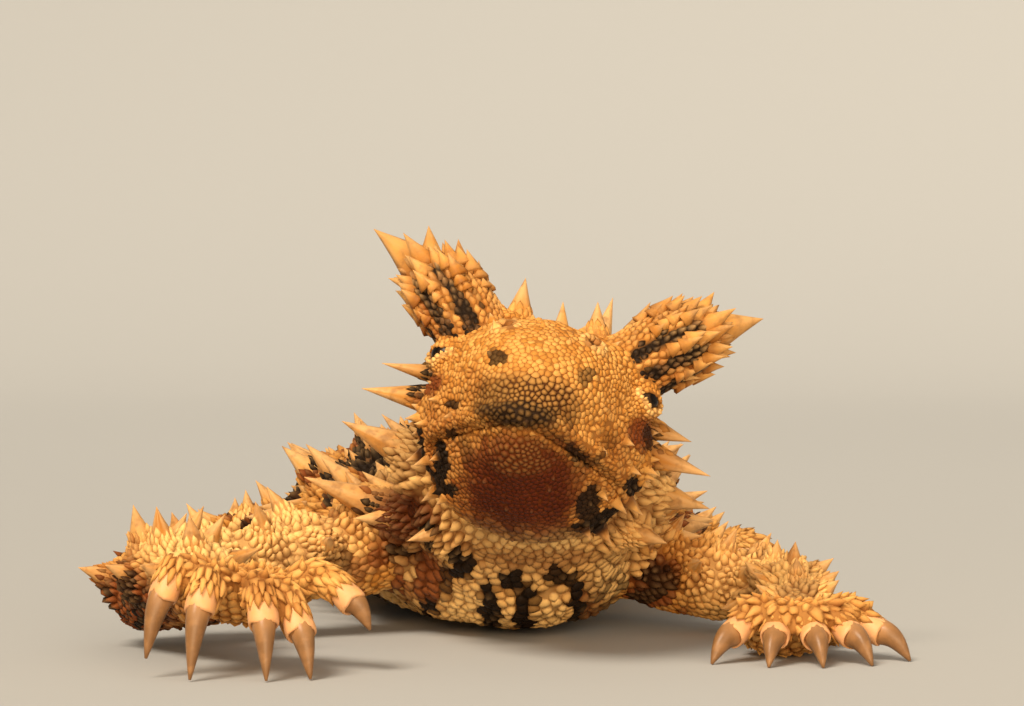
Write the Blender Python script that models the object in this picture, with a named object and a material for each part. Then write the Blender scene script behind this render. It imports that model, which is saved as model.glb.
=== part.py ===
"""A thorny devil as a still, life-size model: the lizard rests low on its belly with its head raised.

Lengths are in millimetres and become metres when a mesh is made. +Z is up, -Y is ahead of the
animal and +X is its left. Its own right foreleg, at -X, reaches ahead with an arched hand.
"""

import math
import random

import bmesh
import bpy
import numpy as np
from mathutils import Euler, Vector
from mathutils.bvhtree import BVHTree

MM = 0.001
GAP = 0.3
SEED = 7

# The whole animal is moved by this so that the origin is under the middle of its box.
SHIFT = np.array([4.35, -60.95, 0.0])

# Head
EYE_MIDDLE = np.array([2.2, 0.0, 19.3])
HEAD_PITCH = -22.0
HEAD_YAW = -6.0
HEAD_ROLL = 12.5
EYE_PLACE = (6.6, 0.0, 0.0)
EYE_RADIUS = 1.35
# Lids: how far out from the eye's middle, radius of the ring and its thickness
LID_RING = (0.85, 1.2, 0.55)
EYE_LOOK = (0.78, -0.6, 0.12)
MOUTH_HEIGHT = -6.1
MOUTH_SNOUT = -5.8
MOUTH_BACK = 1.2
MOUTH_WIDTH = 0.28
LIP_RADIUS = 0.42
LIP_RISE = 0.62
# Distance back and turn from the crown
NOSTRIL_PLACE = (-4.4, 31.0)
NOSTRIL_RADIUS = 0.42
EAR_PLACE = (4.0, -2.4)
EAR_SIZE = (0.8, 1.2, 1.5)

# Sections of the head from snout to nape: distance back, top, bottom, and half widths at the
# brow, at the cheek and at the jaw.
HEAD_SECTIONS = (
    (-8.1, -2.9, -5.6, 1.0, 1.0, 0.8),
    (-7.7, -1.6, -6.9, 2.0, 2.1, 1.5),
    (-7.0, -0.3, -7.6, 2.9, 3.0, 2.2),
    (-5.6, 1.5, -8.3, 4.2, 4.2, 3.0),
    (-3.6, 3.0, -8.9, 5.5, 5.6, 4.1),
    (-1.4, 3.8, -9.4, 6.6, 6.8, 5.4),
    (1.0, 4.1, -9.8, 7.1, 7.8, 6.4),
    (3.4, 4.0, -10.1, 7.1, 8.2, 6.8),
    (5.6, 3.5, -10.1, 6.5, 7.6, 6.4),
    (7.4, 2.3, -9.0, 5.1, 5.9, 4.9),
    (8.6, 0.2, -7.0, 2.6, 3.0, 2.6),
)
BROW_LEVEL, CHEEK_LEVEL, JAW_LEVEL = 0.82, 0.48, 0.12
HEAD_BOX = 3.2

# Horn over the eye, in the head's own axes, for the side at +X: its broad stalk, and the root and root
# radius of the large thorn at its end
HORN_STATIONS = (
    (4.7, 0.6, 1.5, 2.7, 2.6, 2.6),
    (6.7, 0.6, 3.6, 2.7, 2.6, 2.6),
    (8.6, 0.8, 5.4, 2.6, 2.3, 2.5),
    (10.0, 1.0, 6.5, 2.1, 1.9, 2.0),
)
HORN_END = ((10.3, 1.0, 6.6), 1.55)
# Tips of the large thorn and of the thorns along each horn, with the root radius of these
HORN_TIPS = {"left": (13.5, 1.2, 8.4), "right": (-14.4, 1.2, 8.75)}
HORN_THORNS = {
    "left": (
        (9.8, 1.0, 9.5, 0.85), (7.7, 0.8, 8.8, 0.8), (5.7, 0.7, 7.6, 0.6), (11.9, 1.0, 5.0, 0.85),
        (10.3, 0.8, 2.9, 0.65), (11.6, -1.4, 7.6, 0.8), (11.8, 3.4, 7.6, 0.85),
    ),
    "right": (
        (-10.7, 1.0, 9.8, 0.85), (-8.4, 0.8, 9.2, 0.8),
        (-6.6, 0.7, 7.9, 0.6), (-12.4, 0.9, 5.2, 0.85),
        (-10.9, 0.8, 3.5, 0.65), (-11.9, -1.4, 7.8, 0.8), (-12.0, 3.4, 7.8, 0.85),
    ),
}
# Short thorns on the horn: share along it, and angles round it
HORN_RINGS = (
    (0.36, (45, 135, 225, 315)), (0.62, (20, 160, 215, 325)), (0.86, (0, 55, 125, 180, 240, 300)),
)
HORN_THORN = (1.5, 0.62)

# Stations of the trunk, neck and tail: x, y, z, half width, height above and depth below the line
TORSO_STATIONS = (
    (1.2, 16.5, 7.7, 7.8, 5.2, 6.4),
    (0.6, 20.0, 7.3, 9.7, 5.8, 7.0),
    (-0.2, 26.0, 7.2, 11.8, 6.6, 7.3),
    (-1.2, 35.0, 7.3, 13.9, 7.3, 7.7),
    (-2.3, 45.0, 7.4, 15.0, 7.7, 7.9),
    (-3.5, 55.0, 7.3, 14.6, 7.5, 7.8),
    (-4.7, 64.0, 6.8, 12.4, 6.9, 7.0),
    (-5.8, 71.0, 6.2, 9.4, 6.0, 6.1),
    (-6.4, 76.0, 5.8, 6.8, 5.0, 5.0),
)
NECK_STATIONS = (
    (0.6, 21.0, 8.4, 9.0, 5.8, 6.4),
    (1.0, 16.0, 10.2, 9.3, 6.4, 7.2),
    (1.6, 11.0, 13.0, 8.6, 6.2, 7.0),
    (2.3, 5.5, 15.4, 6.0, 5.2, 6.0),
)
KNOB_PLACE = (4.0, 16.6, 17.2)
KNOB_SIZE = (4.2, 3.8, 4.4)
TAIL_STATIONS = (
    (-6.2, 74.0, 5.9, 6.0, 4.9, 4.9),
    (-7.6, 82.0, 5.4, 5.3, 4.6, 4.6),
    (-9.0, 92.0, 4.9, 4.8, 4.3, 4.3),
    (-9.4, 102.0, 4.9, 4.4, 4.0, 4.0),
    (-8.0, 112.0, 6.0, 4.0, 3.7, 3.7),
    (-5.0, 121.0, 8.6, 3.5, 3.3, 3.3),
    (-1.4, 128.0, 12.2, 2.8, 2.7, 2.7),
    (1.4, 131.8, 15.2, 2.0, 2.0, 2.0),
)
TAIL_SPLIT = 0.52

# Limbs, from root to tip: x, y, z and radius
LIMBS = {
    "upper_arm_right": (
        (-7.0, 24.0, 6.8, 3.6), (-13.0, 20.4, 5.8, 3.3),
        (-20.0, 16.2, 4.9, 3.0), (-26.4, 12.6, 4.0, 3.2),
    ),
    "forearm_right": (
        (-26.4, 12.6, 4.0, 3.1), (-24.9, 8.2, 4.4, 3.1),
        (-22.4, 3.2, 5.0, 2.7), (-19.8, -0.8, 5.0, 2.4),
    ),
    "upper_arm_left": (
        (6.0, 24.0, 6.0, 3.4), (11.0, 23.4, 4.6, 3.0),
        (15.6, 22.2, 3.5, 2.7), (19.2, 21.0, 3.0, 2.7),
    ),
    "forearm_left": (
        (19.2, 21.0, 3.0, 2.6), (20.4, 16.8, 2.9, 2.6),
        (20.6, 12.0, 2.7, 2.3), (20.0, 8.0, 2.5, 2.0),
    ),
    "thigh_right": (
        (-11.0, 68.5, 5.4, 3.9), (-15.0, 65.8, 4.7, 3.6),
        (-19.0, 63.0, 4.0, 3.3), (-22.6, 60.4, 3.4, 3.1),
    ),
    "shin_right": (
        (-22.6, 60.4, 3.4, 3.0), (-24.6, 65.0, 3.2, 2.9),
        (-25.8, 70.0, 2.8, 2.5), (-26.0, 74.0, 2.4, 2.1),
    ),
    "thigh_left": (
        (-0.4, 69.5, 5.4, 3.9), (4.0, 67.6, 4.7, 3.6),
        (8.6, 65.4, 4.0, 3.3), (12.6, 63.4, 3.4, 3.1),
    ),
    "shin_left": (
        (12.6, 63.4, 3.4, 3.0), (14.9, 68.0, 3.2, 2.9),
        (16.2, 73.0, 2.8, 2.5), (16.6, 77.0, 2.4, 2.1),
    ),
}
UPPER_ARMS = ("upper_arm_right", "upper_arm_left")
LIMB_PARENT = {
    "upper_arm_right": "torso", "forearm_right": "upper_arm_right",
    "upper_arm_left": "torso", "forearm_left": "upper_arm_left",
    "thigh_right": "torso", "shin_right": "thigh_right",
    "thigh_left": "torso", "shin_left": "thigh_left",
}

# Hands and feet: palm centre, palm half sizes, heading in degrees from -Y towards +X, and for each
# toe, outer to inner: spread, height of its end and height of its claw's tip.
FEET = {
    "hand_right": dict(
        parent="forearm_right", palm=(-17.6, -3.0, 4.9), size=(4.1, 3.4, 2.0), heading=0.0, reach=7.4,
        knuckle=6.6, claw_out=1.6,
        toes=((-43, 5.5, 1.2), (-20, 4.8, 0.0), (12, 3.9, 0.0), (31, 3.3, 0.0), (67, 4.9, 2.8)),
    ),
    "hand_left": dict(
        parent="forearm_left", palm=(19.6, 5.2, 1.9), size=(3.8, 3.3, 2.0), heading=6.0, reach=6.4,
        knuckle=4.0, claw_out=2.4,
        toes=((54, 2.0, 0.0), (26, 2.0, 0.0), (2, 2.0, 0.0), (-22, 2.0, 0.0), (-50, 2.0, 0.0)),
    ),
    "foot_right": dict(
        parent="shin_right", palm=(-26.6, 76.4, 1.8), size=(3.4, 3.9, 1.9), heading=-66.0, reach=7.0,
        knuckle=3.8, claw_out=2.4,
        toes=((-58, 2.0, 0.0), (-30, 2.0, 0.0), (-4, 2.0, 0.0), (22, 2.0, 0.0), (50, 2.0, 0.0)),
    ),
    "foot_left": dict(
        parent="shin_left", palm=(17.4, 79.4, 1.8), size=(3.4, 3.9, 1.9), heading=60.0, reach=7.0,
        knuckle=3.8, claw_out=2.4,
        toes=((58, 2.0, 0.0), (30, 2.0, 0.0), (4, 2.0, 0.0), (-22, 2.0, 0.0), (-50, 2.0, 0.0)),
    ),
}
TOE_RADIUS = 1.15
CLAW_RADIUS = 0.8
SOLE_FLAT = 0.0

# Spines: length and root radius of each kind
LARGE = (4.6, 1.6)
MIDDLE = (3.3, 1.25)
SHORT = (2.5, 1.0)
LOW = (1.9, 0.9)
SMALL = (1.5, 0.75)
SPINE_SINK = 0.35

# Rows of spines on each part: angle round it (0 at +X, 90 on top) and kind, then how many a row
# holds and how far they lean along the part
SPINE_ROWS = {
    "torso": (
        (
            (2, LARGE), (26, LARGE), (50, MIDDLE), (73, MIDDLE),
            (107, MIDDLE), (130, MIDDLE), (154, LARGE), (178, LARGE),
        ),
        9, 0.35,
    ),
    "tail_base": (((4, MIDDLE), (48, MIDDLE), (90, SHORT), (132, MIDDLE), (176, MIDDLE)), 5, 0.45),
    "tail_tip": (((-10, SHORT), (40, SHORT), (90, SHORT), (140, SHORT), (190, SHORT)), 5, 0.45),
    "upper_arm_right": (((22, SHORT), (66, MIDDLE), (110, MIDDLE), (156, SHORT)), 3, 0.2),
    "forearm_right": (((-24, SHORT), (20, MIDDLE), (66, MIDDLE), (110, MIDDLE), (162, SHORT)), 3, 0.2),
    "upper_arm_left": (((22, SHORT), (66, SHORT), (110, SHORT), (156, SHORT)), 3, 0.2),
    "forearm_left": (((-8, LOW), (40, LOW), (90, LOW), (140, LOW), (188, LOW)), 3, 0.2),
    "thigh_right": (((22, SHORT), (66, MIDDLE), (110, MIDDLE), (156, SHORT)), 3, 0.2),
    "shin_right": (((-4, SHORT), (44, SHORT), (90, SHORT), (136, SHORT), (184, SHORT)), 3, 0.2),
    "thigh_left": (((22, SHORT), (66, MIDDLE), (110, MIDDLE), (156, SHORT)), 3, 0.2),
    "shin_left": (((-4, SHORT), (44, SHORT), (90, SHORT), (136, SHORT), (184, SHORT)), 3, 0.2),
}
SMALL_ROWS = {"torso": ((14, 38, 62, 90, 118, 142, 166), 8)}
ROW_START, ROW_END = 0.05, 0.97

# Single spines of the neck, shoulders and knob: root, tip and root radius
NECK_SPINES = (
    ((-6.6, 11.0, 13.6), (-12.2, 11.0, 16.2), 1.8),
    ((9.2, 11.0, 11.4), (14.2, 11.5, 9.9), 1.7),
    ((-6.2, 15.0, 13.4), (-9.6, 16.5, 16.6), 1.3),
    ((-8.0, 15.5, 9.0), (-11.6, 15.0, 9.0), 1.3),
    ((9.4, 15.5, 13.0), (12.6, 16.0, 14.4), 1.3),
    ((-2.0, 14.5, 18.0), (-4.4, 16.5, 20.8), 1.2),
    ((-2.6, 9.6, 18.6), (-5.2, 11.2, 20.6), 1.1),
    ((3.5, 17.0, 20.6), (3.8, 18.6, 24.9), 1.4),
    ((6.0, 17.0, 20.2), (7.5, 18.6, 25.2), 1.4),
    ((1.2, 17.6, 19.0), (-0.6, 20.0, 21.4), 1.0),
    ((7.6, 18.0, 17.8), (10.0, 19.6, 19.2), 1.1),
    ((4.4, 20.0, 18.6), (5.0, 22.6, 20.6), 1.1),
    ((4.6, 13.4, 19.4), (5.2, 12.6, 21.4), 0.9),
    ((-4.6, 9.6, 8.6), (-7.4, 8.2, 7.8), 1.2),
    ((8.4, 10.0, 8.4), (11.0, 8.6, 7.6), 1.2),
)
SHOULDER_SPINES = (
    ((-8.6, 19.0, 9.2), (-15.4, 18.0, 11.9), 1.9),
    ((9.4, 20.0, 9.0), (14.6, 19.6, 10.8), 1.7),
)

# Single spines of the head in its own axes: root, tip and root radius
HEAD_SPINES = (
    ((2.7, 1.2, 3.8), (2.1, 1.5, 7.1), 1.25),
    ((6.9, 5.0, 0.2), (10.5, 5.2, -0.1), 1.1),
    ((7.1, 5.2, -1.6), (12.3, 5.4, -2.2), 1.3),
    ((-2.9, 1.2, 3.8), (-3.2, 1.5, 7.7), 1.35),
    ((-6.9, 5.0, 0.6), (-11.9, 5.2, 0.6), 1.0),
    ((-7.1, 5.2, -1.2), (-12.8, 5.4, -1.5), 1.35),
)
# Points on the head's skin, for the side at +X: distance back, turn from the crown, length, radius
HEAD_POINTS = (
    (-2.2, 34, 0.9, 0.6), (-4.6, 38, 0.7, 0.5), (-0.6, 12, 0.8, 0.55), (4.2, 18, 1.5, 0.8),
    (5.0, 50, 1.9, 0.9), (6.6, 22, 1.7, 0.85), (6.8, 62, 1.8, 0.9), (-1.6, 98, 0.8, 0.55),
    (0.6, 106, 1.0, 0.6), (2.6, 96, 1.3, 0.7), (4.2, 112, 1.9, 0.9), (2.4, 122, 1.3, 0.7),
    (5.4, 130, 1.7, 0.9), (3.6, 142, 1.0, 0.65), (0.2, 128, 0.8, 0.55), (-3.0, 112, 0.6, 0.5),
)
TOE_POINT = (1.2, 0.6)

SKIN = ("skin", (0.62, 0.34, 0.11), 0.8)
HORN = ("horn", (0.74, 0.52, 0.26), 0.6)
EYE = ("eye", (0.03, 0.015, 0.01), 0.15)
FINISHES = {"horn": HORN, "eye": EYE}


def clear_scene():
    for item in list(bpy.data.objects):
        bpy.data.objects.remove(item, do_unlink=True)


def smooth_rows(stations, count):
    """Rows on a smooth curve through the stations, evenly spaced along its first three columns."""
    rows = np.array(stations, float)
    at = np.concatenate([[0.0], np.cumsum(np.linalg.norm(np.diff(rows[:, :3], axis=0), axis=1))])
    slope = np.gradient(rows, at, axis=0)
    want = np.linspace(0.0, at[-1], count)
    i = np.clip(np.searchsorted(at, want, side="right") - 1, 0, len(at) - 2)
    step = (at[i + 1] - at[i])[:, None]
    t = (want - at[i])[:, None] / step
    return (
        (2 * t**3 - 3 * t**2 + 1) * rows[i]
        + (t**3 - 2 * t**2 + t) * step * slope[i]
        + (3 * t**2 - 2 * t**3) * rows[i + 1]
        + (t**3 - t**2) * step * slope[i + 1]
    )


def unit(vectors):
    return vectors / np.maximum(np.linalg.norm(vectors, axis=-1, keepdims=True), 1e-9)


class Tube:
    """A body part swept along stations of x, y, z, half width, height above and depth below."""

    FINE = 81

    def __init__(self, stations, grow=0.0, upward=(0.0, 0.0, 1.0)):
        stations = [tuple(s) if len(s) == 6 else (*s, s[3], s[3]) for s in stations]
        self.rows = smooth_rows(stations, self.FINE)
        self.rows[:, 3:] += grow
        self.along = unit(np.gradient(self.rows[:, :3], axis=0))
        self.side = unit(np.cross(self.along, np.array(upward)))
        if self.side[len(self.side) // 2, 0] < 0:
            self.side = -self.side
        self.up = unit(np.cross(self.side, self.along))
        if self.up[len(self.up) // 2] @ np.array(upward) < 0:
            self.up = -self.up

    def point(self, u, angle):
        """Skin point at share u of the length. The angle runs from +X (0) over the top (90)."""
        f = min(max(u, 0.0), 1.0) * (self.FINE - 1)
        i = min(int(f), self.FINE - 2)
        w = f - i
        row, side, up = ((1 - w) * a[i] + w * a[i + 1] for a in (self.rows, self.side, self.up))
        c, s = math.cos(math.radians(angle)), math.sin(math.radians(angle))
        return row[:3] + side * row[3] * c + up * (row[4] if s > 0 else row[5]) * s

    def forward(self, u):
        """The direction in which the line runs at share u of the length."""
        return self.along[int(min(max(u, 0.0), 1.0) * (self.FINE - 1))]

    def thickness(self, u):
        """How large the spines are at share u: less where the part is thin."""
        width = self.rows[:, 3]
        here = width[int(min(max(u, 0.0), 1.0) * (self.FINE - 1))]
        return 0.62 + 0.38 * here / width.max()

    def normal(self, u, angle):
        across = self.point(u, angle + 1) - self.point(u, angle - 1)
        down = self.point(min(u + 0.01, 1), angle) - self.point(max(u - 0.01, 0), angle)
        found = unit(np.cross(across, down))
        f = int(min(max(u, 0.0), 1.0) * (self.FINE - 1))
        return found if found @ (self.point(u, angle) - self.rows[f, :3]) > 0 else -found

    def mesh(self, rings, sides, domes=2):
        """Points and faces of the closed tube, with round ends, flat where it would pass the floor."""
        at = np.linspace(0, self.FINE - 1, rings).round().astype(int)
        levels = []
        for k in range(domes, 0, -1):
            turn = math.pi / 2 * k / (domes + 1)
            levels.append((at[0], -math.sin(turn), math.cos(turn)))
        levels += [(i, 0.0, 1.0) for i in at]
        for k in range(1, domes + 1):
            turn = math.pi / 2 * k / (domes + 1)
            levels.append((at[-1], math.sin(turn), math.cos(turn)))
        angles = np.arange(sides) * 2 * math.pi / sides
        c, s = np.cos(angles)[:, None], np.sin(angles)[:, None]
        points = []
        for i, push, share in levels:
            row = self.rows[i]
            centre = row[:3] + self.along[i] * push * row[3:].min()
            tall = np.where(s > 0, row[4], row[5])
            points.append(centre + (self.side[i] * row[3] * c + self.up[i] * tall * s) * share)
        first, last = self.rows[0], self.rows[-1]
        ends = [
            first[:3] - self.along[0] * first[3:].min(),
            last[:3] + self.along[-1] * last[3:].min(),
        ]
        points = np.vstack([*points, ends])
        return on_floor(points), ring_faces(len(levels), sides)


def ring_faces(rings, sides):
    """Faces of a stack of rings that is closed at both ends by one point each."""
    faces = []
    for r in range(rings - 1):
        for k in range(sides):
            a, b = r * sides + k, r * sides + (k + 1) % sides
            faces.append((a, b, b + sides, a + sides))
    start, end = rings * sides, rings * sides + 1
    for k in range(sides):
        faces.append((start, (k + 1) % sides, k))
        faces.append((end, (rings - 1) * sides + k, (rings - 1) * sides + (k + 1) % sides))
    return faces


def signed_volume(points, faces):
    """Six times the volume of a closed mesh, minus where its faces point inwards."""
    total = 0.0
    for face in faces:
        for second, third in zip(face[1:], face[2:]):
            total += np.dot(points[face[0]], np.cross(points[second], points[third]))
    return total


def on_floor(points):
    points[:, 2] = np.maximum(points[:, 2], SOLE_FLAT)
    return points


def head_turn():
    angles = (math.radians(HEAD_PITCH), 0.0, math.radians(HEAD_YAW))
    tilt = Euler((0.0, math.radians(HEAD_ROLL), 0.0)).to_matrix()
    return np.array(tilt @ Euler(angles, "XYZ").to_matrix())


HEAD_TURN = head_turn()


def from_head(points):
    """Points given in the head's own axes, placed in the animal."""
    return np.asarray(points, float) @ HEAD_TURN.T + EYE_MIDDLE


def head_section(y, grow=0.0):
    rows = np.array(HEAD_SECTIONS)
    top, bottom, brow, cheek, jaw = (np.interp(y, rows[:, 0], rows[:, k]) for k in range(1, 6))
    return top + grow, bottom - grow, brow + grow, cheek + grow, jaw + grow


def head_point(y, turn, grow=0.0):
    """A point on the head: turn goes from 0 at the crown to 180 under the chin, minus on the right."""
    top, bottom, brow, cheek, jaw = head_section(y, grow)
    level = (1 + math.cos(math.radians(turn))) / 2
    width = np.interp(level, (0, JAW_LEVEL, CHEEK_LEVEL, BROW_LEVEL, 1), (jaw, jaw, cheek, brow, brow))
    edge = (1 - abs(2 * level - 1) ** HEAD_BOX) ** 0.5
    return np.array([math.copysign(width * edge, turn), y, bottom + (top - bottom) * level])


def head_turn_at(y, height):
    """The turn at which the head's section at y reaches a height."""
    top, bottom = head_section(y)[:2]
    return math.degrees(math.acos(2 * (height - bottom) / (top - bottom) - 1))


def head_mesh(rings, sides, grow=0.0):
    first, last = HEAD_SECTIONS[0][0], HEAD_SECTIONS[-1][0]
    share = (1 - np.cos(np.linspace(0, math.pi, rings))) / 2
    points = []
    for y in first + (last - first) * share:
        for k in range(sides):
            turn = (k + 0.5) * 360 / sides
            points.append(head_point(y, turn if turn < 180 else turn - 360, grow))
    points.append((0.0, first - 0.35, -4.3))
    points.append((0.0, last + 0.8, -3.4))
    points = np.array(points)
    points[:, 1] *= 1 + grow / last
    return from_head(points), ring_faces(rings, sides)


def spine_mesh(root, direction, length, radius, sides=5, waist=0.5):
    """A thorn: a wide root sunk in the skin, a hollow flare at a third of its length and a sharp tip."""
    direction = unit(np.array(direction, float))
    across = unit(np.cross(direction, (0.31, 0.2, 0.93)))
    other = np.cross(direction, across)
    levels = ((-SPINE_SINK, 1.15), (0.36, waist)) if waist else ((-SPINE_SINK, 1.2),)
    angles = np.arange(sides) * 2 * math.pi / sides
    points = []
    for reach, share in levels:
        centre = root + direction * length * reach
        for angle in angles:
            points.append(centre + radius * share * (across * math.cos(angle) + other * math.sin(angle)))
    points.append(root - direction * length * SPINE_SINK)
    points.append(root + direction * length)
    return np.array(points), ring_faces(len(levels), sides)


def make_object(name, points, faces, finish):
    mesh = bpy.data.meshes.new(name)
    mesh.from_pydata([tuple((p + SHIFT) * MM) for p in points], [], faces)
    work = bmesh.new()
    work.from_mesh(mesh)
    bmesh.ops.remove_doubles(work, verts=work.verts, dist=1e-7)
    bmesh.ops.recalc_face_normals(work, faces=work.faces)
    work.to_mesh(mesh)
    work.free()
    made = bpy.data.objects.new(name, mesh)
    bpy.context.scene.collection.objects.link(made)
    made.data.materials.append(material(*finish))
    return made


def material(name, colour, roughness):
    found = bpy.data.materials.get(name)
    if found:
        return found
    made = bpy.data.materials.new(name)
    made.use_nodes = True
    shader = made.node_tree.nodes["Principled BSDF"]
    shader.inputs["Base Color"].default_value = (*colour, 1.0)
    shader.inputs["Roughness"].default_value = roughness
    shader.inputs["Metallic"].default_value = 0.0
    return made


def apply_boolean(target, operation, others):
    """Joins others to the target, or cuts them from it, and removes them."""
    group = bpy.data.collections.new("pieces")
    for other in others:
        bpy.context.scene.collection.objects.unlink(other)
        group.objects.link(other)
    bpy.context.scene.collection.children.link(group)
    change = target.modifiers.new("pieces", "BOOLEAN")
    change.operation = operation
    change.operand_type = "COLLECTION"
    change.collection = group
    change.solver = "MANIFOLD"
    graph = bpy.context.evaluated_depsgraph_get()
    result = bpy.data.meshes.new_from_object(target.evaluated_get(graph))
    target.modifiers.clear()
    old = target.data
    target.data = result
    bpy.data.meshes.remove(old)
    for other in others:
        bpy.data.objects.remove(other, do_unlink=True)
    bpy.data.collections.remove(group)


def keep_largest(target):
    """Keeps the surface with the most faces, and drops scraps and sealed hollows."""
    work = bmesh.new()
    work.from_mesh(target.data)
    left = set(work.faces)
    shells = []
    while left:
        shell = {left.pop()}
        front = list(shell)
        while front:
            near = {f for e in front.pop().edges for f in e.link_faces} & left
            left -= near
            shell |= near
            front.extend(near)
        shells.append(shell)
    shells.sort(key=len)
    for shell in shells[:-1]:
        bmesh.ops.delete(work, geom=list(shell), context="FACES")
    work.to_mesh(target.data)
    work.free()


class Builder:
    """Keeps the plain forms and the spines set so far, so that no new spine meets another node."""

    def __init__(self):
        self.forms = {}
        self.spines = []
        self.pieces = {}
        self.cuts = {}
        self.tubes = {}
        self.toe_points = []
        self.random = random.Random(SEED)

    def add(self, node, points, faces):
        self.pieces.setdefault(node, []).append((points, faces))

    def add_form(self, node, points, faces):
        """Adds a plain form, and keeps it with its faces turned out, to keep spines off it."""
        if signed_volume(points, faces) < 0:
            faces = [face[::-1] for face in faces]
        self.forms.setdefault(node, []).append(BVHTree.FromPolygons([Vector(p) for p in points], faces))
        self.add(node, points, faces)

    def add_tube(self, node, stations, rings, sides):
        """Adds a swept form, and keeps it with a copy that is larger by the gap, to cut its neighbour."""
        tube = Tube(stations)
        self.add_form(node, *tube.mesh(rings, sides))
        self.tubes[node] = (tube, Tube(stations, grow=GAP).mesh(rings, sides))

    def cut(self, node, points, faces):
        """Notes a form to cut from the node. Where it rests on the floor it is carried on below it."""
        points = points.copy()
        points[points[:, 2] <= SOLE_FLAT + 1e-6, 2] -= 1.0
        self.cuts.setdefault(node, []).append((points, faces))

    def clear_of(self, node, root, tip, radius):
        """True if a spine keeps off every other node and off the floor."""
        for share in (0.0, 0.5, 1.0):
            place = Vector(root + (tip - root) * share)
            room = radius * (1.15 - share) + GAP
            if share and place.z < room * 0.5:
                return False
            for other, trees in self.forms.items():
                if other == node:
                    continue
                for tree in trees:
                    near, normal, _, distance = tree.find_nearest(place)
                    if distance < room or (place - near).dot(normal) < 0:
                        return False
        for other, start, end, wide in self.spines:
            if other != node and segment_gap(root, tip, start, end) < radius + wide * 0.7 + GAP:
                return False
        return True

    def add_spine(self, node, root, direction, size, **shape):
        length, radius = size
        direction = unit(np.array(direction, float))
        tip = root + direction * length
        if not self.clear_of(node, root, tip, radius):
            return
        self.spines.append((node, root, tip, radius))
        self.pieces[node].append(spine_mesh(root, direction, length, radius, **shape))

    def add_spine_to(self, node, root, tip, radius, neighbours=()):
        """Adds a spine that ends at the tip, from the place on the node's skin that is nearest to root.

        It is added wherever it stands, and is cut from the neighbours with room round it.
        """
        near = [tree.find_nearest(Vector(root)) for tree in self.forms[node]]
        root = np.array(min(near, key=lambda found: found[3])[0])
        span = tip - root
        length = np.linalg.norm(span)
        self.spines.append((node, root, tip, radius))
        self.pieces[node].append(spine_mesh(root, span, length, radius))
        for other in neighbours:
            self.cut(other, *spine_mesh(root, span, length + 2 * GAP, radius + 1.3 * GAP))

    def spread(self, value):
        return self.random.uniform(-value, value)


def segment_gap(a, b, c, d, steps=5):
    """The least distance between two short segments, from a few points on each."""
    share = np.linspace(0, 1, steps)[:, None]
    first, second = a + (b - a) * share, c + (d - c) * share
    return np.linalg.norm(first[:, None] - second[None], axis=2).min()


def ball(centre, size, rings=6, sides=10):
    """Points and faces of an ellipsoid."""
    points = []
    for r in range(1, rings + 1):
        lift = math.pi * r / (rings + 1)
        for k in range(sides):
            turn = 2 * math.pi * k / sides
            points.append((math.sin(lift) * math.cos(turn), math.sin(lift) * math.sin(turn), math.cos(lift)))
    points += [(0, 0, 1), (0, 0, -1)]
    return np.array(points) * np.array(size) + np.array(centre), ring_faces(rings, sides)


def rod(path, radius, sides=5):
    """Points and faces of a round rod along a list of points, for grooves and rims."""
    path = np.array(path, float)
    along = unit(np.gradient(path, axis=0))
    across = unit(np.cross(along, (0.1, 0.2, 0.97)))
    other = np.cross(along, across)
    angles = np.arange(sides) * 2 * math.pi / sides
    points = [
        p + radius * (a * math.cos(t) + b * math.sin(t))
        for p, a, b in zip(path, across, other)
        for t in angles
    ]
    points += [path[0] - along[0] * radius * 0.5, path[-1] + along[-1] * radius * 0.5]
    return np.array(points), ring_faces(len(path), sides)


def mouth_line(rise=0.0, count=13):
    """Points on the head along the mouth, from its right corner round the snout to the left."""
    front = HEAD_SECTIONS[0][0]
    half = []
    for share in np.linspace(0, 1, count // 2 + 1)[:-1]:
        y = MOUTH_BACK + (front + 0.25 - MOUTH_BACK) * share**0.75
        height = MOUTH_HEIGHT + (MOUTH_SNOUT - MOUTH_HEIGHT) * share**6 + rise
        half.append(head_point(y, head_turn_at(y, height)))
    right = [(-x, y, z) for x, y, z in half]
    return from_head(np.array(right + [(0.0, front - 0.1, MOUTH_SNOUT + rise)] + half[::-1]))


def ring_mesh(centre, facing, radius, thickness, around=12, sides=6):
    """Points and faces of a torus."""
    facing = unit(np.array(facing, float))
    across = unit(np.cross(facing, (0.2, 0.1, 0.97)))
    other = np.cross(facing, across)
    points, faces = [], []
    for i in range(around):
        turn = 2 * math.pi * i / around
        out = across * math.cos(turn) + other * math.sin(turn)
        for j in range(sides):
            roll = 2 * math.pi * j / sides
            reach = radius + thickness * math.cos(roll)
            points.append(centre + out * reach + facing * thickness * math.sin(roll))
            a, b = i * sides + j, i * sides + (j + 1) % sides
            c, d = (b + sides) % (around * sides), (a + sides) % (around * sides)
            faces.append((a, b, c, d))
    return np.array(points), faces


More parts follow.
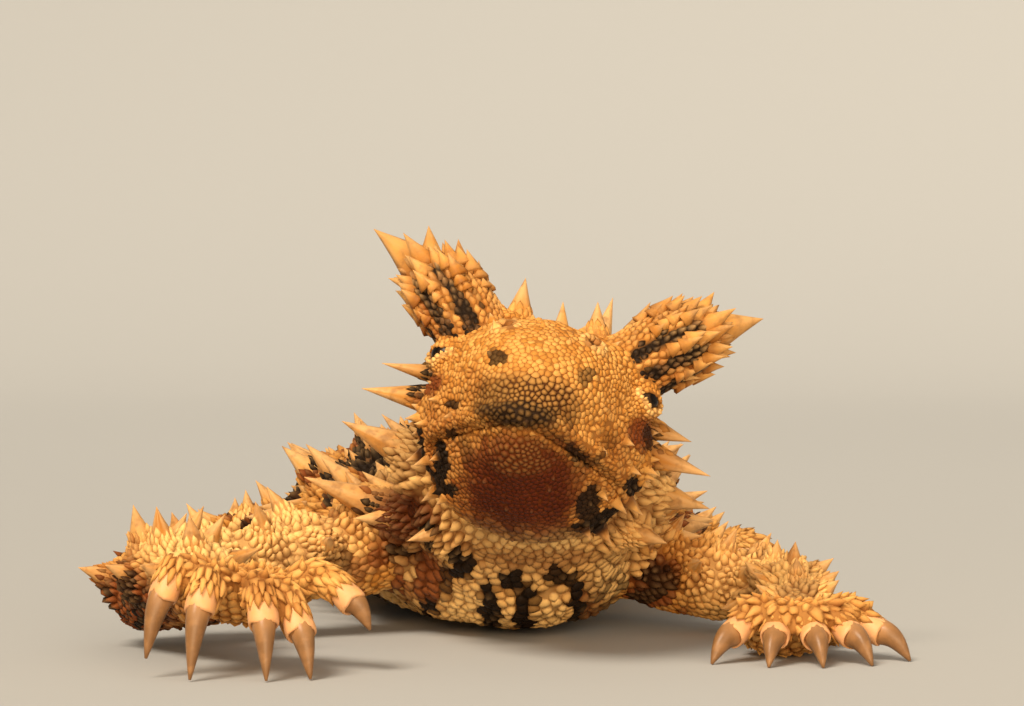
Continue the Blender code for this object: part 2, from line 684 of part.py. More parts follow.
def toe_parts(foot, toe):
    """Stations of one toe, and the root and tip of its claw."""
    spread, end_height, claw_height = toe
    heading = math.radians(foot["heading"] + spread)
    out = np.array([math.sin(heading), -math.cos(heading), 0.0])
    centre = np.array([*foot["palm"][:2], 0.0])
    rise = np.array([0.0, 0.0, 1.0])
    reach = foot["reach"]
    stations = [
        (*(centre + out * reach * 0.3 + rise * foot["palm"][2]), TOE_RADIUS * 1.1),
        (*(centre + out * reach * 0.68 + rise * (end_height + foot["knuckle"]) * 0.55), TOE_RADIUS * 1.05),
        (*(centre + out * reach * 0.94 + rise * (end_height + 0.35)), TOE_RADIUS),
    ]
    claw_root = centre + out * reach + rise * end_height
    claw_tip = centre + out * (reach + foot["claw_out"]) + rise * (claw_height + 0.02)
    return stations, claw_root, claw_tip


def claw_mesh(root, tip, rings=3, sides=5):
    """A claw that arches from the toe down to a small blunt tip."""
    span = tip - root
    lift = np.array([0.0, 0.0, 1.0]) * np.linalg.norm(span) * 0.12
    path = [
        root + span * s + lift * math.sin(math.pi * s)
        for s in np.linspace(-0.28, 0.97, rings)
    ]
    along = unit(np.gradient(np.array(path), axis=0))
    across = unit(np.cross(along, (0.0, 0.0, 1.0)))
    other = np.cross(along, across)
    points = []
    for k, centre in enumerate(path):
        wide = CLAW_RADIUS * (1 - 0.76 * (k / (rings - 1)) ** 1.5)
        for j in range(sides):
            turn = 2 * math.pi * j / sides
            points.append(centre + wide * (across[k] * math.cos(turn) + other[k] * math.sin(turn)))
    points += [path[0] - along[0] * 0.2, tip]
    return on_floor(np.array(points)), ring_faces(rings, sides)


def build_trunk(build):
    tail = smooth_rows(TAIL_STATIONS, 21)
    split = int(TAIL_SPLIT * 20)
    forms = {
        "torso": (TORSO_STATIONS, 13, 18),
        "neck": (NECK_STATIONS, 5, 14),
        "tail_base": (tail[: split + 1], 6, 11),
        "tail_tip": (tail[split:], 6, 10),
    }
    for node, (stations, rings, sides) in forms.items():
        build.add_tube(node, stations, rings, sides)
    build.add_form("neck", *ball(KNOB_PLACE, KNOB_SIZE))
    build.cut("neck", *build.tubes["torso"][1])
    build.cut("neck", *head_mesh(16, 20, GAP))
    build.cut("tail_base", *build.tubes["torso"][1])
    build.cut("tail_tip", *build.tubes["tail_base"][1])


def build_head(build):
    build.add_form("head", *head_mesh(16, 20))
    for rise in (LIP_RISE, -LIP_RISE):
        build.add("head", *rod(mouth_line(rise), LIP_RADIUS))
    build.cut("head", *rod(mouth_line(), MOUTH_WIDTH))
    for side, name in ((1, "left"), (-1, "right")):
        mirror = np.array([side, 1, 1])
        stations = np.array(HORN_STATIONS)
        places = from_head(stations[:, :3] * mirror)
        build.add_tube(f"horn_{name}", np.hstack([places, stations[:, 3:]]), 6, 12)
        build.cut(f"horn_{name}", *head_mesh(16, 20, GAP))
        build_eye(build, name, mirror)
        build_nostril(build, side)
        ear_y, ear_z = EAR_PLACE
        ear = head_point(ear_y, side * head_turn_at(ear_y, ear_z))
        build.cut("head", *ball(from_head(ear), EAR_SIZE))


def build_eye(build, name, mirror):
    centre = from_head(np.array(EYE_PLACE) * mirror)
    look = HEAD_TURN @ (unit(np.array(EYE_LOOK)) * mirror)
    out, ring, thickness = LID_RING
    build.add_form(f"eye_{name}", *ball(centre, (EYE_RADIUS,) * 3, 5, 9))
    build.add("head", *ring_mesh(centre + look * out, look, ring, thickness))
    build.cut("head", *ball(centre, (EYE_RADIUS + GAP * 1.3,) * 3, 6, 11))
    build.cut(f"horn_{name}", *ball(centre + look * 0.5, (EYE_RADIUS + 1.2,) * 3, 6, 11))


def build_nostril(build, side):
    y, turn = NOSTRIL_PLACE
    place, facing = head_surface(y, turn * side)
    rim = NOSTRIL_RADIUS * 1.5
    build.add("head", *ring_mesh(place, facing, rim, NOSTRIL_RADIUS * 0.55, around=10, sides=5))
    build.cut("head", *ball(place, (NOSTRIL_RADIUS,) * 3, 5, 8))


def head_surface(y, turn):
    """Where the head's skin is, and which way it faces there, in the animal's axes."""
    here = head_point(y, turn)
    along = head_point(y + 0.1, turn) - head_point(y - 0.1, turn)
    around = head_point(y, turn + 1) - head_point(y, turn - 1)
    facing = unit(np.cross(along, around))
    outward = here - np.array([0.0, y + 0.6, -3.0])
    if facing @ outward < 0:
        facing = -facing
    return from_head(here), HEAD_TURN @ facing


def build_limbs(build):
    for node, stations in LIMBS.items():
        build.add_tube(node, stations, 5, 9)
        build.cut(node, *build.tubes[LIMB_PARENT[node]][1])
    for node, foot in FEET.items():
        build.add_form(node, *ball_on_floor(foot["palm"], foot["size"]))
        for toe in foot["toes"]:
            stations, claw_root, claw_tip = toe_parts(foot, toe)
            build.add_form(node, *Tube(stations).mesh(3, 6, domes=1))
            build.add_form(node, *claw_mesh(claw_root, claw_tip))
            knuckle = np.array(stations[1][:3]) + [0.0, 0.0, TOE_RADIUS]
            build.toe_points.append((node, knuckle, claw_tip - knuckle))
        build.cut(node, *build.tubes[foot["parent"]][1])


def add_spine_rows(build):
    """Rows of spines along the parts, with every other row half a step on."""
    for node, (rows, count, lean) in SPINE_ROWS.items():
        tube = build.tubes[node][0]
        for k, (angle, (length, radius)) in enumerate(rows):
            for i in range(count):
                u = (i + 0.25 + 0.5 * (k % 2) + build.spread(0.12)) / count
                u = ROW_START + (ROW_END - ROW_START) * u
                turn = angle + build.spread(3)
                size = tube.thickness(u) * (1 + build.spread(0.12))
                direction = tube.normal(u, turn) + tube.forward(u) * lean
                build.add_spine(node, tube.point(u, turn), direction, (length * size, radius * size))
    for node, (angles, count) in SMALL_ROWS.items():
        tube = build.tubes[node][0]
        for k, angle in enumerate(angles):
            for i in range(count):
                u = (i + 0.5 + 0.5 * (k % 2) + build.spread(0.2)) / count
                u = ROW_START + (ROW_END - ROW_START) * u
                turn = angle + build.spread(4)
                direction = tube.normal(u, turn) + tube.forward(u) * 0.3
                build.add_spine(node, tube.point(u, turn), direction, SMALL, sides=4, waist=None)


def add_toe_points(build):
    """A small pointed scale over each knuckle."""
    for node, place, ahead in build.toe_points:
        ahead[2] = 0.0
        direction = np.array([0.0, 0.0, 1.0]) + unit(ahead) * 0.6
        build.add_spine(node, place, direction, TOE_POINT, sides=4, waist=None)


def add_single_spines(build):
    for root, tip, radius in NECK_SPINES:
        build.add_spine_to("neck", np.array(root), np.array(tip), radius, ("head",))
    for root, tip, radius in SHOULDER_SPINES:
        build.add_spine_to("torso", np.array(root), np.array(tip), radius, ("neck",) + UPPER_ARMS)
    for root, tip, radius in HEAD_SPINES:
        near = ("neck", "horn_left" if root[0] > 0 else "horn_right")
        build.add_spine_to("head", from_head(root), from_head(tip), radius, near)
    for side in (1, -1):
        for y, turn, length, radius in HEAD_POINTS:
            place, facing = head_surface(y, turn * side)
            direction = facing + HEAD_TURN @ np.array([0.0, 0.5, 0.1])
            build.add_spine("head", place, direction, (length, radius), sides=4, waist=None)


def add_horn_thorns(build):
    """The large thorn at each horn's end, the thorns along its edges and rings of short ones."""
    for side, name in ((1, "left"), (-1, "right")):
        node = f"horn_{name}"
        tube = build.tubes[node][0]
        root, radius = HORN_END
        tip = from_head(HORN_TIPS[name])
        build.add_spine_to(node, from_head(root * np.array([side, 1, 1])), tip, radius)
        for x, y, z, radius in HORN_THORNS[name]:
            tip = from_head((x, y, z))
            build.add_spine_to(node, thorn_root(tube, tip), tip, radius)
        for u, angles in HORN_RINGS:
            for angle in angles:
                direction = tube.normal(u, angle) * 0.6 + tube.forward(u)
                build.add_spine(node, tube.point(u, angle), direction, HORN_THORN, sides=4, waist=None)


def thorn_root(tube, tip):
    """Where a thorn with this tip leaves the tube, leaning along it."""
    line = tube.rows[:, :3]
    i = np.linalg.norm(line - tip, axis=1).argmin()
    ahead = tube.along[i]
    out = tip - line[i]
    out = unit(out - ahead * (out @ ahead))
    return tip - ahead * 1.9 - out * 1.2


def ball_on_floor(centre, size):
    points, faces = ball(centre, size, 6, 12)
    return on_floor(points), faces


def main():
    clear_scene()
    build = Builder()
    build_trunk(build)
    build_head(build)
    build_limbs(build)
    add_single_spines(build)
    add_horn_thorns(build)
    add_toe_points(build)
    add_spine_rows(build)
    for node, pieces in build.pieces.items():
        finish = FINISHES.get(node.split("_")[0], SKIN)
        objects = [make_object(f"{node}_piece", *piece, finish) for piece in pieces]
        objects[0].name = node
        if len(objects) > 1:
            apply_boolean(objects[0], "UNION", objects[1:])
        cutters = [make_object(f"{node}_cutter", *piece, finish) for piece in build.cuts.get(node, [])]
        if cutters:
            apply_boolean(objects[0], "DIFFERENCE", cutters)
        keep_largest(objects[0])


main()
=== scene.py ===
"""A thorny devil as a still, life-size model: one skin with its scales, thorns, horns, claws and eyes.

Lengths are in millimetres and become metres when a mesh is made. The named values of the body are
the solids' own. +Z is up, -Y is ahead of the animal and +X is its left.
"""

import math
import random

import bmesh
import bpy
import numpy as np
from mathutils import Euler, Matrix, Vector
from mathutils.kdtree import KDTree

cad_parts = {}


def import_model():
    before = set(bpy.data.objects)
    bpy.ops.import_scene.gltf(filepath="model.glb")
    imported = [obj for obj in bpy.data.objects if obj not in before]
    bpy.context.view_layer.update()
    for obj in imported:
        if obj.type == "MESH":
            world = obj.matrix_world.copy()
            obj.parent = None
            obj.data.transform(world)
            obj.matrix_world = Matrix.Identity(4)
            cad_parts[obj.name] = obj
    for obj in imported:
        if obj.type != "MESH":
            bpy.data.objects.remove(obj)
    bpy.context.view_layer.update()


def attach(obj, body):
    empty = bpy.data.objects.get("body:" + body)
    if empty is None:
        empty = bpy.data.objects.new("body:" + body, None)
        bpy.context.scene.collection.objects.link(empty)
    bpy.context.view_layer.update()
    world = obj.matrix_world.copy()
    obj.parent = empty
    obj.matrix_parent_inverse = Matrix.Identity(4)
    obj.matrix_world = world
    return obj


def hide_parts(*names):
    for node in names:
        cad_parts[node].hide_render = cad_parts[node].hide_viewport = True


MM = 0.001
SEED = 7
UP = np.array([0.0, 0.0, 1.0])
SIDES = {"left": 1, "right": -1}
# From the places below to the solids' own frame
SHIFT = np.array([4.35, -60.95, 0.0])

# How far the skin lies inside the solids, and the size of the cells that join its forms
INSET = 0.35
HEAD_INSET = 0.2
CELL = 0.45

# Head
EYE_MIDDLE = np.array([2.2, 0.0, 19.3])
HEAD_PITCH = -22.0
HEAD_YAW = -6.0
HEAD_ROLL = 12.5
EYE_PLACE = (6.6, 0.0, 0.0)
EYE_RADIUS = 1.35
EYE_LOOK = (0.78, -0.6, 0.12)
# The eye's opening between the lids, in degrees from the middle: half width, top, bottom
LIDS = (42.0, 3.0, 34.0)
LID_RISE = 0.32
MOUTH_HEIGHT = -6.1
MOUTH_SNOUT = -5.8
MOUTH_BACK = 1.2
# How far the mouth lies below its line in the solids at the middle of the snout
MOUTH_DROP = 0.6
MOUTH_POINTS = 121
# Distance back and turn from the crown
NOSTRIL_PLACE = (-4.4, 31.0)
# Distance back and height
EAR_PLACE = (4.0, -2.4)

# Sections of the head from snout to nape: distance back, top, bottom, and half widths at the
# brow, at the cheek and at the jaw.
HEAD_SECTIONS = (
    (-8.1, -2.9, -5.6, 1.0, 1.0, 0.8),
    (-7.7, -1.6, -6.9, 2.0, 2.1, 1.5),
    (-7.0, -0.3, -7.6, 2.9, 3.0, 2.2),
    (-5.6, 1.5, -8.3, 4.2, 4.2, 3.0),
    (-3.6, 3.0, -8.9, 5.5, 5.6, 4.1),
    (-1.4, 3.8, -9.4, 6.6, 6.8, 5.4),
    (1.0, 4.1, -9.8, 7.1, 7.8, 6.4),
    (3.4, 4.0, -10.1, 7.1, 8.2, 6.8),
    (5.6, 3.5, -10.1, 6.5, 7.6, 6.4),
    (7.4, 2.3, -9.0, 5.1, 5.9, 4.9),
    (8.6, 0.2, -7.0, 2.6, 3.0, 2.6),
)
SNOUT, NAPE = HEAD_SECTIONS[0][0], HEAD_SECTIONS[-1][0]
BROW_LEVEL, CHEEK_LEVEL, JAW_LEVEL = 0.82, 0.48, 0.12
HEAD_BOX = 3.2

# Horn over the eye, in the head's own axes, for the side at +X: its broad stalk, and the root and root
# radius of the large thorn at its end
HORN_STATIONS = (
    (4.7, 0.6, 1.5, 2.7, 2.6, 2.6),
    (6.7, 0.6, 3.6, 2.7, 2.6, 2.6),
    (8.6, 0.8, 5.4, 2.6, 2.3, 2.5),
    (10.0, 1.0, 6.5, 2.1, 1.9, 2.0),
)
HORN_END = ((10.3, 1.0, 6.6), 1.55)
# Tips of the large thorn and of the thorns along each horn, with the root radius of these
HORN_TIPS = {"left": (13.5, 1.2, 8.4), "right": (-14.4, 1.2, 8.75)}
HORN_THORNS = {
    "left": (
        (9.8, 1.0, 9.5, 0.85), (7.7, 0.8, 8.8, 0.8), (5.7, 0.7, 7.6, 0.6), (11.9, 1.0, 5.0, 0.85),
        (10.3, 0.8, 2.9, 0.65), (11.6, -1.4, 7.6, 0.8), (11.8, 3.4, 7.6, 0.85),
    ),
    "right": (
        (-10.7, 1.0, 9.8, 0.85), (-8.4, 0.8, 9.2, 0.8), (-6.6, 0.7, 7.9, 0.6), (-12.4, 0.9, 5.2, 0.85),
        (-10.9, 0.8, 3.5, 0.65), (-11.9, -1.4, 7.8, 0.8), (-12.0, 3.4, 7.8, 0.85),
    ),
}
# Angles of the ridges of short thorns round the horn
HORN_RIDGES = (17, -25, -67, 163, -155, -113, 60, 90, 120)
# How many thorns a ridge has, the share of the horn at its first, and the share from one to the next
RIDGE_COUNT = 5
RIDGE_START, RIDGE_STEP = 0.46, 0.11

# Stations of the trunk, neck and tail: x, y, z, half width, height above and depth below the line
TORSO_STATIONS = (
    (1.2, 16.5, 7.7, 7.8, 5.2, 6.4),
    (0.6, 20.0, 7.3, 9.7, 5.8, 7.0),
    (-0.2, 26.0, 7.2, 11.8, 6.6, 7.3),
    (-1.2, 35.0, 7.3, 13.9, 7.3, 7.7),
    (-2.3, 45.0, 7.4, 15.0, 7.7, 7.9),
    (-3.5, 55.0, 7.3, 14.6, 7.5, 7.8),
    (-4.7, 64.0, 6.8, 12.4, 6.9, 7.0),
    (-5.8, 71.0, 6.2, 9.4, 6.0, 6.1),
    (-6.4, 76.0, 5.8, 6.8, 5.0, 5.0),
)
NECK_STATIONS = (
    (0.6, 21.0, 8.4, 9.0, 5.8, 6.4),
    (1.0, 16.0, 10.2, 9.3, 6.4, 7.2),
    (1.6, 11.0, 13.0, 8.6, 6.2, 7.0),
    (2.3, 5.5, 15.4, 6.0, 5.2, 6.0),
)
KNOB_PLACE = (4.0, 16.6, 17.2)
KNOB_SIZE = (4.2, 3.8, 4.4)
TAIL_STATIONS = (
    (-6.2, 74.0, 5.9, 6.0, 4.9, 4.9),
    (-7.6, 82.0, 5.4, 5.3, 4.6, 4.6),
    (-9.0, 92.0, 4.9, 4.8, 4.3, 4.3),
    (-9.4, 102.0, 4.9, 4.4, 4.0, 4.0),
    (-8.0, 112.0, 6.0, 4.0, 3.7, 3.7),
    (-5.0, 121.0, 8.6, 3.5, 3.3, 3.3),
    (-1.4, 128.0, 12.2, 2.8, 2.7, 2.7),
    (1.4, 131.8, 15.2, 2.0, 2.0, 2.0),
)
TAIL_SPLIT = 0.52

# Limbs, from root to tip: x, y, z and radius
LIMBS = {
    "upper_arm_right": (
        (-7.0, 24.0, 6.8, 3.6), (-13.0, 20.4, 5.8, 3.3), (-20.0, 16.2, 4.9, 3.0), (-26.4, 12.6, 4.0, 3.2),
    ),
    "forearm_right": (
        (-26.4, 12.6, 4.0, 3.1), (-24.9, 8.2, 4.4, 3.1), (-22.4, 3.2, 5.0, 2.7), (-19.8, -0.8, 5.0, 2.4),
    ),
    "upper_arm_left": (
        (6.0, 24.0, 6.0, 3.4), (11.0, 23.4, 4.6, 3.0), (15.6, 22.2, 3.5, 2.7), (19.2, 21.0, 3.0, 2.7),
    ),
    "forearm_left": (
        (19.2, 21.0, 3.0, 2.6), (20.4, 16.8, 2.9, 2.6), (20.6, 12.0, 2.7, 2.3), (20.0, 8.0, 2.5, 2.0),
    ),
    "thigh_right": (
        (-11.0, 68.5, 5.4, 3.9), (-15.0, 65.8, 4.7, 3.6), (-19.0, 63.0, 4.0, 3.3), (-22.6, 60.4, 3.4, 3.1),
    ),
    "shin_right": (
        (-22.6, 60.4, 3.4, 3.0), (-24.6, 65.0, 3.2, 2.9), (-25.8, 70.0, 2.8, 2.5), (-26.0, 74.0, 2.4, 2.1),
    ),
    "thigh_left": (
        (-0.4, 69.5, 5.4, 3.9), (4.0, 67.6, 4.7, 3.6), (8.6, 65.4, 4.0, 3.3), (12.6, 63.4, 3.4, 3.1),
    ),
    "shin_left": (
        (12.6, 63.4, 3.4, 3.0), (14.9, 68.0, 3.2, 2.9), (16.2, 73.0, 2.8, 2.5), (16.6, 77.0, 2.4, 2.1),
    ),
}


def flat_toes(*spreads):
    """Toes that lie flat with their claws on the floor, as spread, height of end and of claw's tip."""
    return [(spread, 2.0, 0.0) for spread in spreads]


# Hands and feet: palm centre, palm half sizes, heading in degrees from -Y towards +X, and the toes,
# outer to inner
FEET = {
    "hand_right": dict(
        palm=(-17.6, -3.0, 4.9), size=(4.1, 3.4, 2.0), heading=0.0, reach=7.4, knuckle=6.6, claw_out=1.6,
        toes=((-43, 5.5, 1.2), (-20, 4.8, 0.0), (12, 3.9, 0.0), (31, 3.3, 0.0), (67, 4.9, 2.8)),
    ),
    "hand_left": dict(
        palm=(19.6, 5.2, 1.9), size=(3.8, 3.3, 2.0), heading=6.0, reach=6.4, knuckle=4.0, claw_out=2.4,
        toes=flat_toes(54, 26, 2, -22, -50),
    ),
    "foot_right": dict(
        palm=(-26.6, 76.4, 1.8), size=(3.4, 3.9, 1.9), heading=-66.0, reach=7.0, knuckle=3.8, claw_out=2.4,
        toes=flat_toes(-58, -30, -4, 22, 50),
    ),
    "foot_left": dict(
        palm=(17.4, 79.4, 1.8), size=(3.4, 3.9, 1.9), heading=60.0, reach=7.0, knuckle=3.8, claw_out=2.4,
        toes=flat_toes(58, 30, 4, -22, -50),
    ),
}
TOE_RADIUS = 1.15
CLAW_RADIUS = 0.8
CLAW_SIDES = 24
# Cuff over a claw's root: half width, how far it reaches back and ahead of the root
CUFF = (1.02, 1.9, 0.5)
CUFF_SIDES = 20
# Along the cuff from its root to its lip, which turns in: share of its length and of its half width
CUFF_PROFILE = (
    (0.0, 0.5), (0.18, 0.74), (0.38, 0.89), (0.6, 0.98), (0.8, 1.02), (0.93, 1.0), (1.0, 0.93),
    (0.97, 0.83), (0.86, 0.76),
)
# Rows of pointed scales over a cuff's root: the scales in a row, their size, and for each row its place
# ahead of the claw's root and its radius, as shares of the cuff's reach back and half width
FRINGE_COUNT = 10
FRINGE_SIZE = 0.6
FRINGE_ROWS = ((-0.72, 0.86), (-1.0, 0.74))

# Spines: length and root radius of each kind
LARGE = (4.6, 1.6)
MIDDLE = (3.3, 1.25)
SHORT = (2.5, 1.0)
LOW = (1.9, 0.9)
SMALL = (1.5, 0.75)
ARCH = (SHORT, MIDDLE, MIDDLE, SHORT)

# Rows of spines on each part: the rows' angles round it (0 at +X, 90 on top) and their kinds, then how
# many a row holds and how far they lean along the part
SPINE_ROWS = {
    "torso": (
        (2, 26, 50, 73, 107, 130, 154, 178),
        (LARGE, LARGE, MIDDLE, MIDDLE, MIDDLE, MIDDLE, LARGE, LARGE), 9, 0.35,
    ),
    "tail_base": ((4, 48, 90, 132, 176), (MIDDLE, MIDDLE, SHORT, MIDDLE, MIDDLE), 5, 0.45),
    "tail_tip": ((-10, 40, 90, 140, 190), (SHORT,) * 5, 5, 0.45),
    "upper_arm_right": ((22, 66, 110, 156), ARCH, 3, 0.2),
    "forearm_right": ((-24, 20, 66, 110, 162), (SHORT, MIDDLE, MIDDLE, MIDDLE, SHORT), 3, 0.2),
    "upper_arm_left": ((22, 66, 110, 156), (SHORT,) * 4, 3, 0.2),
    "forearm_left": ((-8, 40, 90, 140, 188), (LOW,) * 5, 3, 0.2),
    "thigh_right": ((22, 66, 110, 156), ARCH, 3, 0.2),
    "shin_right": ((-4, 44, 90, 136, 184), (SHORT,) * 5, 3, 0.2),
    "thigh_left": ((22, 66, 110, 156), ARCH, 3, 0.2),
    "shin_left": ((-4, 44, 90, 136, 184), (SHORT,) * 5, 3, 0.2),
}
# Rows of small spines between those of the torso: their angles, and how many a row holds
SMALL_ROWS = ((14, 38, 62, 90, 118, 142, 166), 8)
ROW_START, ROW_END = 0.05, 0.97

# Single spines of the neck, shoulders and knob: root, tip and root radius
NECK_SPINES = (
    ((-6.6, 11.0, 13.6), (-12.2, 11.0, 16.2), 1.8),
    ((9.2, 11.0, 11.4), (14.2, 11.5, 9.9), 1.7),
    ((-6.2, 15.0, 13.4), (-9.6, 16.5, 16.6), 1.3),
    ((-8.0, 15.5, 9.0), (-11.6, 15.0, 9.0), 1.3),
    ((9.4, 15.5, 13.0), (12.6, 16.0, 14.4), 1.3),
    ((-2.0, 14.5, 18.0), (-4.4, 16.5, 20.8), 1.2),
    ((-2.6, 9.6, 18.6), (-5.2, 11.2, 20.6), 1.1),
    ((3.5, 17.0, 20.6), (3.8, 18.6, 24.9), 1.4),
    ((6.0, 17.0, 20.2), (7.5, 18.6, 25.2), 1.4),
    ((1.2, 17.6, 19.0), (-0.6, 20.0, 21.4), 1.0),
    ((7.6, 18.0, 17.8), (10.0, 19.6, 19.2), 1.1),
    ((4.4, 20.0, 18.6), (5.0, 22.6, 20.6), 1.1),
    ((4.6, 13.4, 19.4), (5.2, 12.6, 21.4), 0.9),
    ((-4.6, 9.6, 8.6), (-7.4, 8.2, 7.8), 1.2),
    ((8.4, 10.0, 8.4), (11.0, 8.6, 7.6), 1.2),
)
SHOULDER_SPINES = (
    ((-8.6, 19.0, 9.2), (-15.4, 18.0, 11.9), 1.9),
    ((9.4, 20.0, 9.0), (14.6, 19.6, 10.8), 1.7),
)

# Single spines of the head in its own axes: root, tip and root radius
HEAD_SPINES = (
    ((2.7, 1.2, 3.8), (2.1, 1.5, 7.1), 1.25),
    ((6.9, 5.0, 0.2), (10.5, 5.2, -0.1), 1.1),
    ((7.1, 5.2, -1.6), (12.3, 5.4, -2.2), 1.3),
    ((-2.9, 1.2, 3.8), (-3.2, 1.5, 7.7), 1.35),
    ((-6.9, 5.0, 0.6), (-11.9, 5.2, 0.6), 1.0),
    ((-7.1, 5.2, -1.2), (-12.8, 5.4, -1.5), 1.35),
)
# Points on the head's skin, for the side at +X: distance back, turn from the crown, length, radius
HEAD_POINTS = (
    (-2.2, 34, 0.9, 0.6), (-4.6, 38, 0.7, 0.5), (-0.6, 12, 0.8, 0.55), (4.2, 18, 1.5, 0.8),
    (5.0, 50, 1.9, 0.9), (6.6, 22, 1.7, 0.85), (6.8, 62, 1.8, 0.9), (-1.6, 98, 0.8, 0.55),
    (0.6, 106, 1.0, 0.6), (2.6, 96, 1.3, 0.7), (4.2, 112, 1.9, 0.9), (2.4, 122, 1.3, 0.7),
    (5.4, 130, 1.7, 0.9), (3.6, 142, 1.0, 0.65), (0.2, 128, 0.8, 0.55), (-3.0, 112, 0.6, 0.5),
)
# Points round each ear: half length and half height of their ring, degrees from one to the next, and
# the length and root radius of each
EAR_RING = (1.45, 1.75)
EAR_STEP = 40
EAR_POINT = (0.85, 0.36)
# Along a thorn, from below its root to its tip: share of its length and of its root radius
SPINE_PROFILE = (
    (-0.22, 1.12), (-0.06, 0.98), (0.05, 0.88), (0.16, 0.78), (0.3, 0.65), (0.46, 0.50),
    (0.62, 0.355), (0.78, 0.21), (0.91, 0.09), (1.0, 0.012),
)
SPINE_SIDES = 16
# How high the skin rises round a thorn's root, as shares of its radius: small ones, large ones, head
MOUND, LARGE_MOUND, HEAD_MOUND = 0.42, 0.75, 0.8
# How far from a thorn's middle its mound reaches, as a share of its radius
MOUND_REACH = 2.3
# Root radius of the smallest thorn that scales climb
COLLAR_RADIUS = 0.62

# Scales: the distance between their middles on each region, the number of their sides, and how
# many places are tried for each that finds room
SPACING = {
    "face": 0.32, "nape": 0.46, "neck": 0.54, "torso_front": 0.62, "torso_rear": 0.64, "tail": 0.56,
    "arms": 0.43, "legs": 0.46, "hands": 0.54, "feet": 0.54,
}
EYE_SPACING = 0.25
HORN_SPACING = (0.30, 0.56)
SCALE_SIDES = 9
CROWD = 14.0
# Where along the head the face ends, and how far apart the smallest thorns stand
FACE_SHARE = 0.66
BETWEEN = 2.3
# How near scales come to the mouth, the middles of the nostrils and those of the ears
MOUTH_CLEAR, NOSTRIL_CLEAR, EAR_CLEAR = 0.24, 0.5, 1.05
# Nearer to an eye's middle than the first, scales stay so many degrees outside the lids' opening
EYE_CLEAR, LIDS_CLEAR = 2.2, 4.0
# Of the scales of each region, the shares that stand up as thorns and that are keeled, and how tall
# the thorns are
SHAPES = {
    "face": (0.01, 0.04, 0.3), "nape": (0.06, 0.2, 0.6), "neck": (0.08, 0.3, 0.8),
    "torso_front": (0.07, 0.35, 0.8), "torso_rear": (0.07, 0.35, 0.8), "tail": (0.1, 0.45, 0.7),
    "arms": (0.12, 0.6, 0.8), "legs": (0.12, 0.6, 0.8), "hands": (0.2, 0.75, 0.6), "feet": (0.2, 0.75, 0.6),
}
# Chooses all scales at once
EVERY = slice(None)
# The width of a scale's or thorn's patch of the unwrap
PATCH = 0.003

# The view: where the camera stands, and its focal length
CAMERA = np.array([0.0, -200.0, 21.1])
LENS = 103.36

# Blotches by part: the pattern's values where the red starts and is full, the same for the dark in
# its middle, and how strong the two are
BLOTCHES = {
    "back": ((0.49, 0.55), (0.55, 0.60), 1.0, 1.0),
    "belly": ((0.54, 0.6), (0.57, 0.62), 1.0, 1.0),
    "limbs": ((0.50, 0.56), (0.57, 0.63), 1.0, 0.9),
    "toes": ((0.5, 0.6), (0.6, 0.7), 0.3, 0.0),
    "crown": ((0.5, 0.6), (0.58, 0.64), 0.8, 1.0),
}
# How far behind the eyes the marks of the face end, and those of the breast and arms
FACE_DEPTH, BREAST_DEPTH = 6, 26
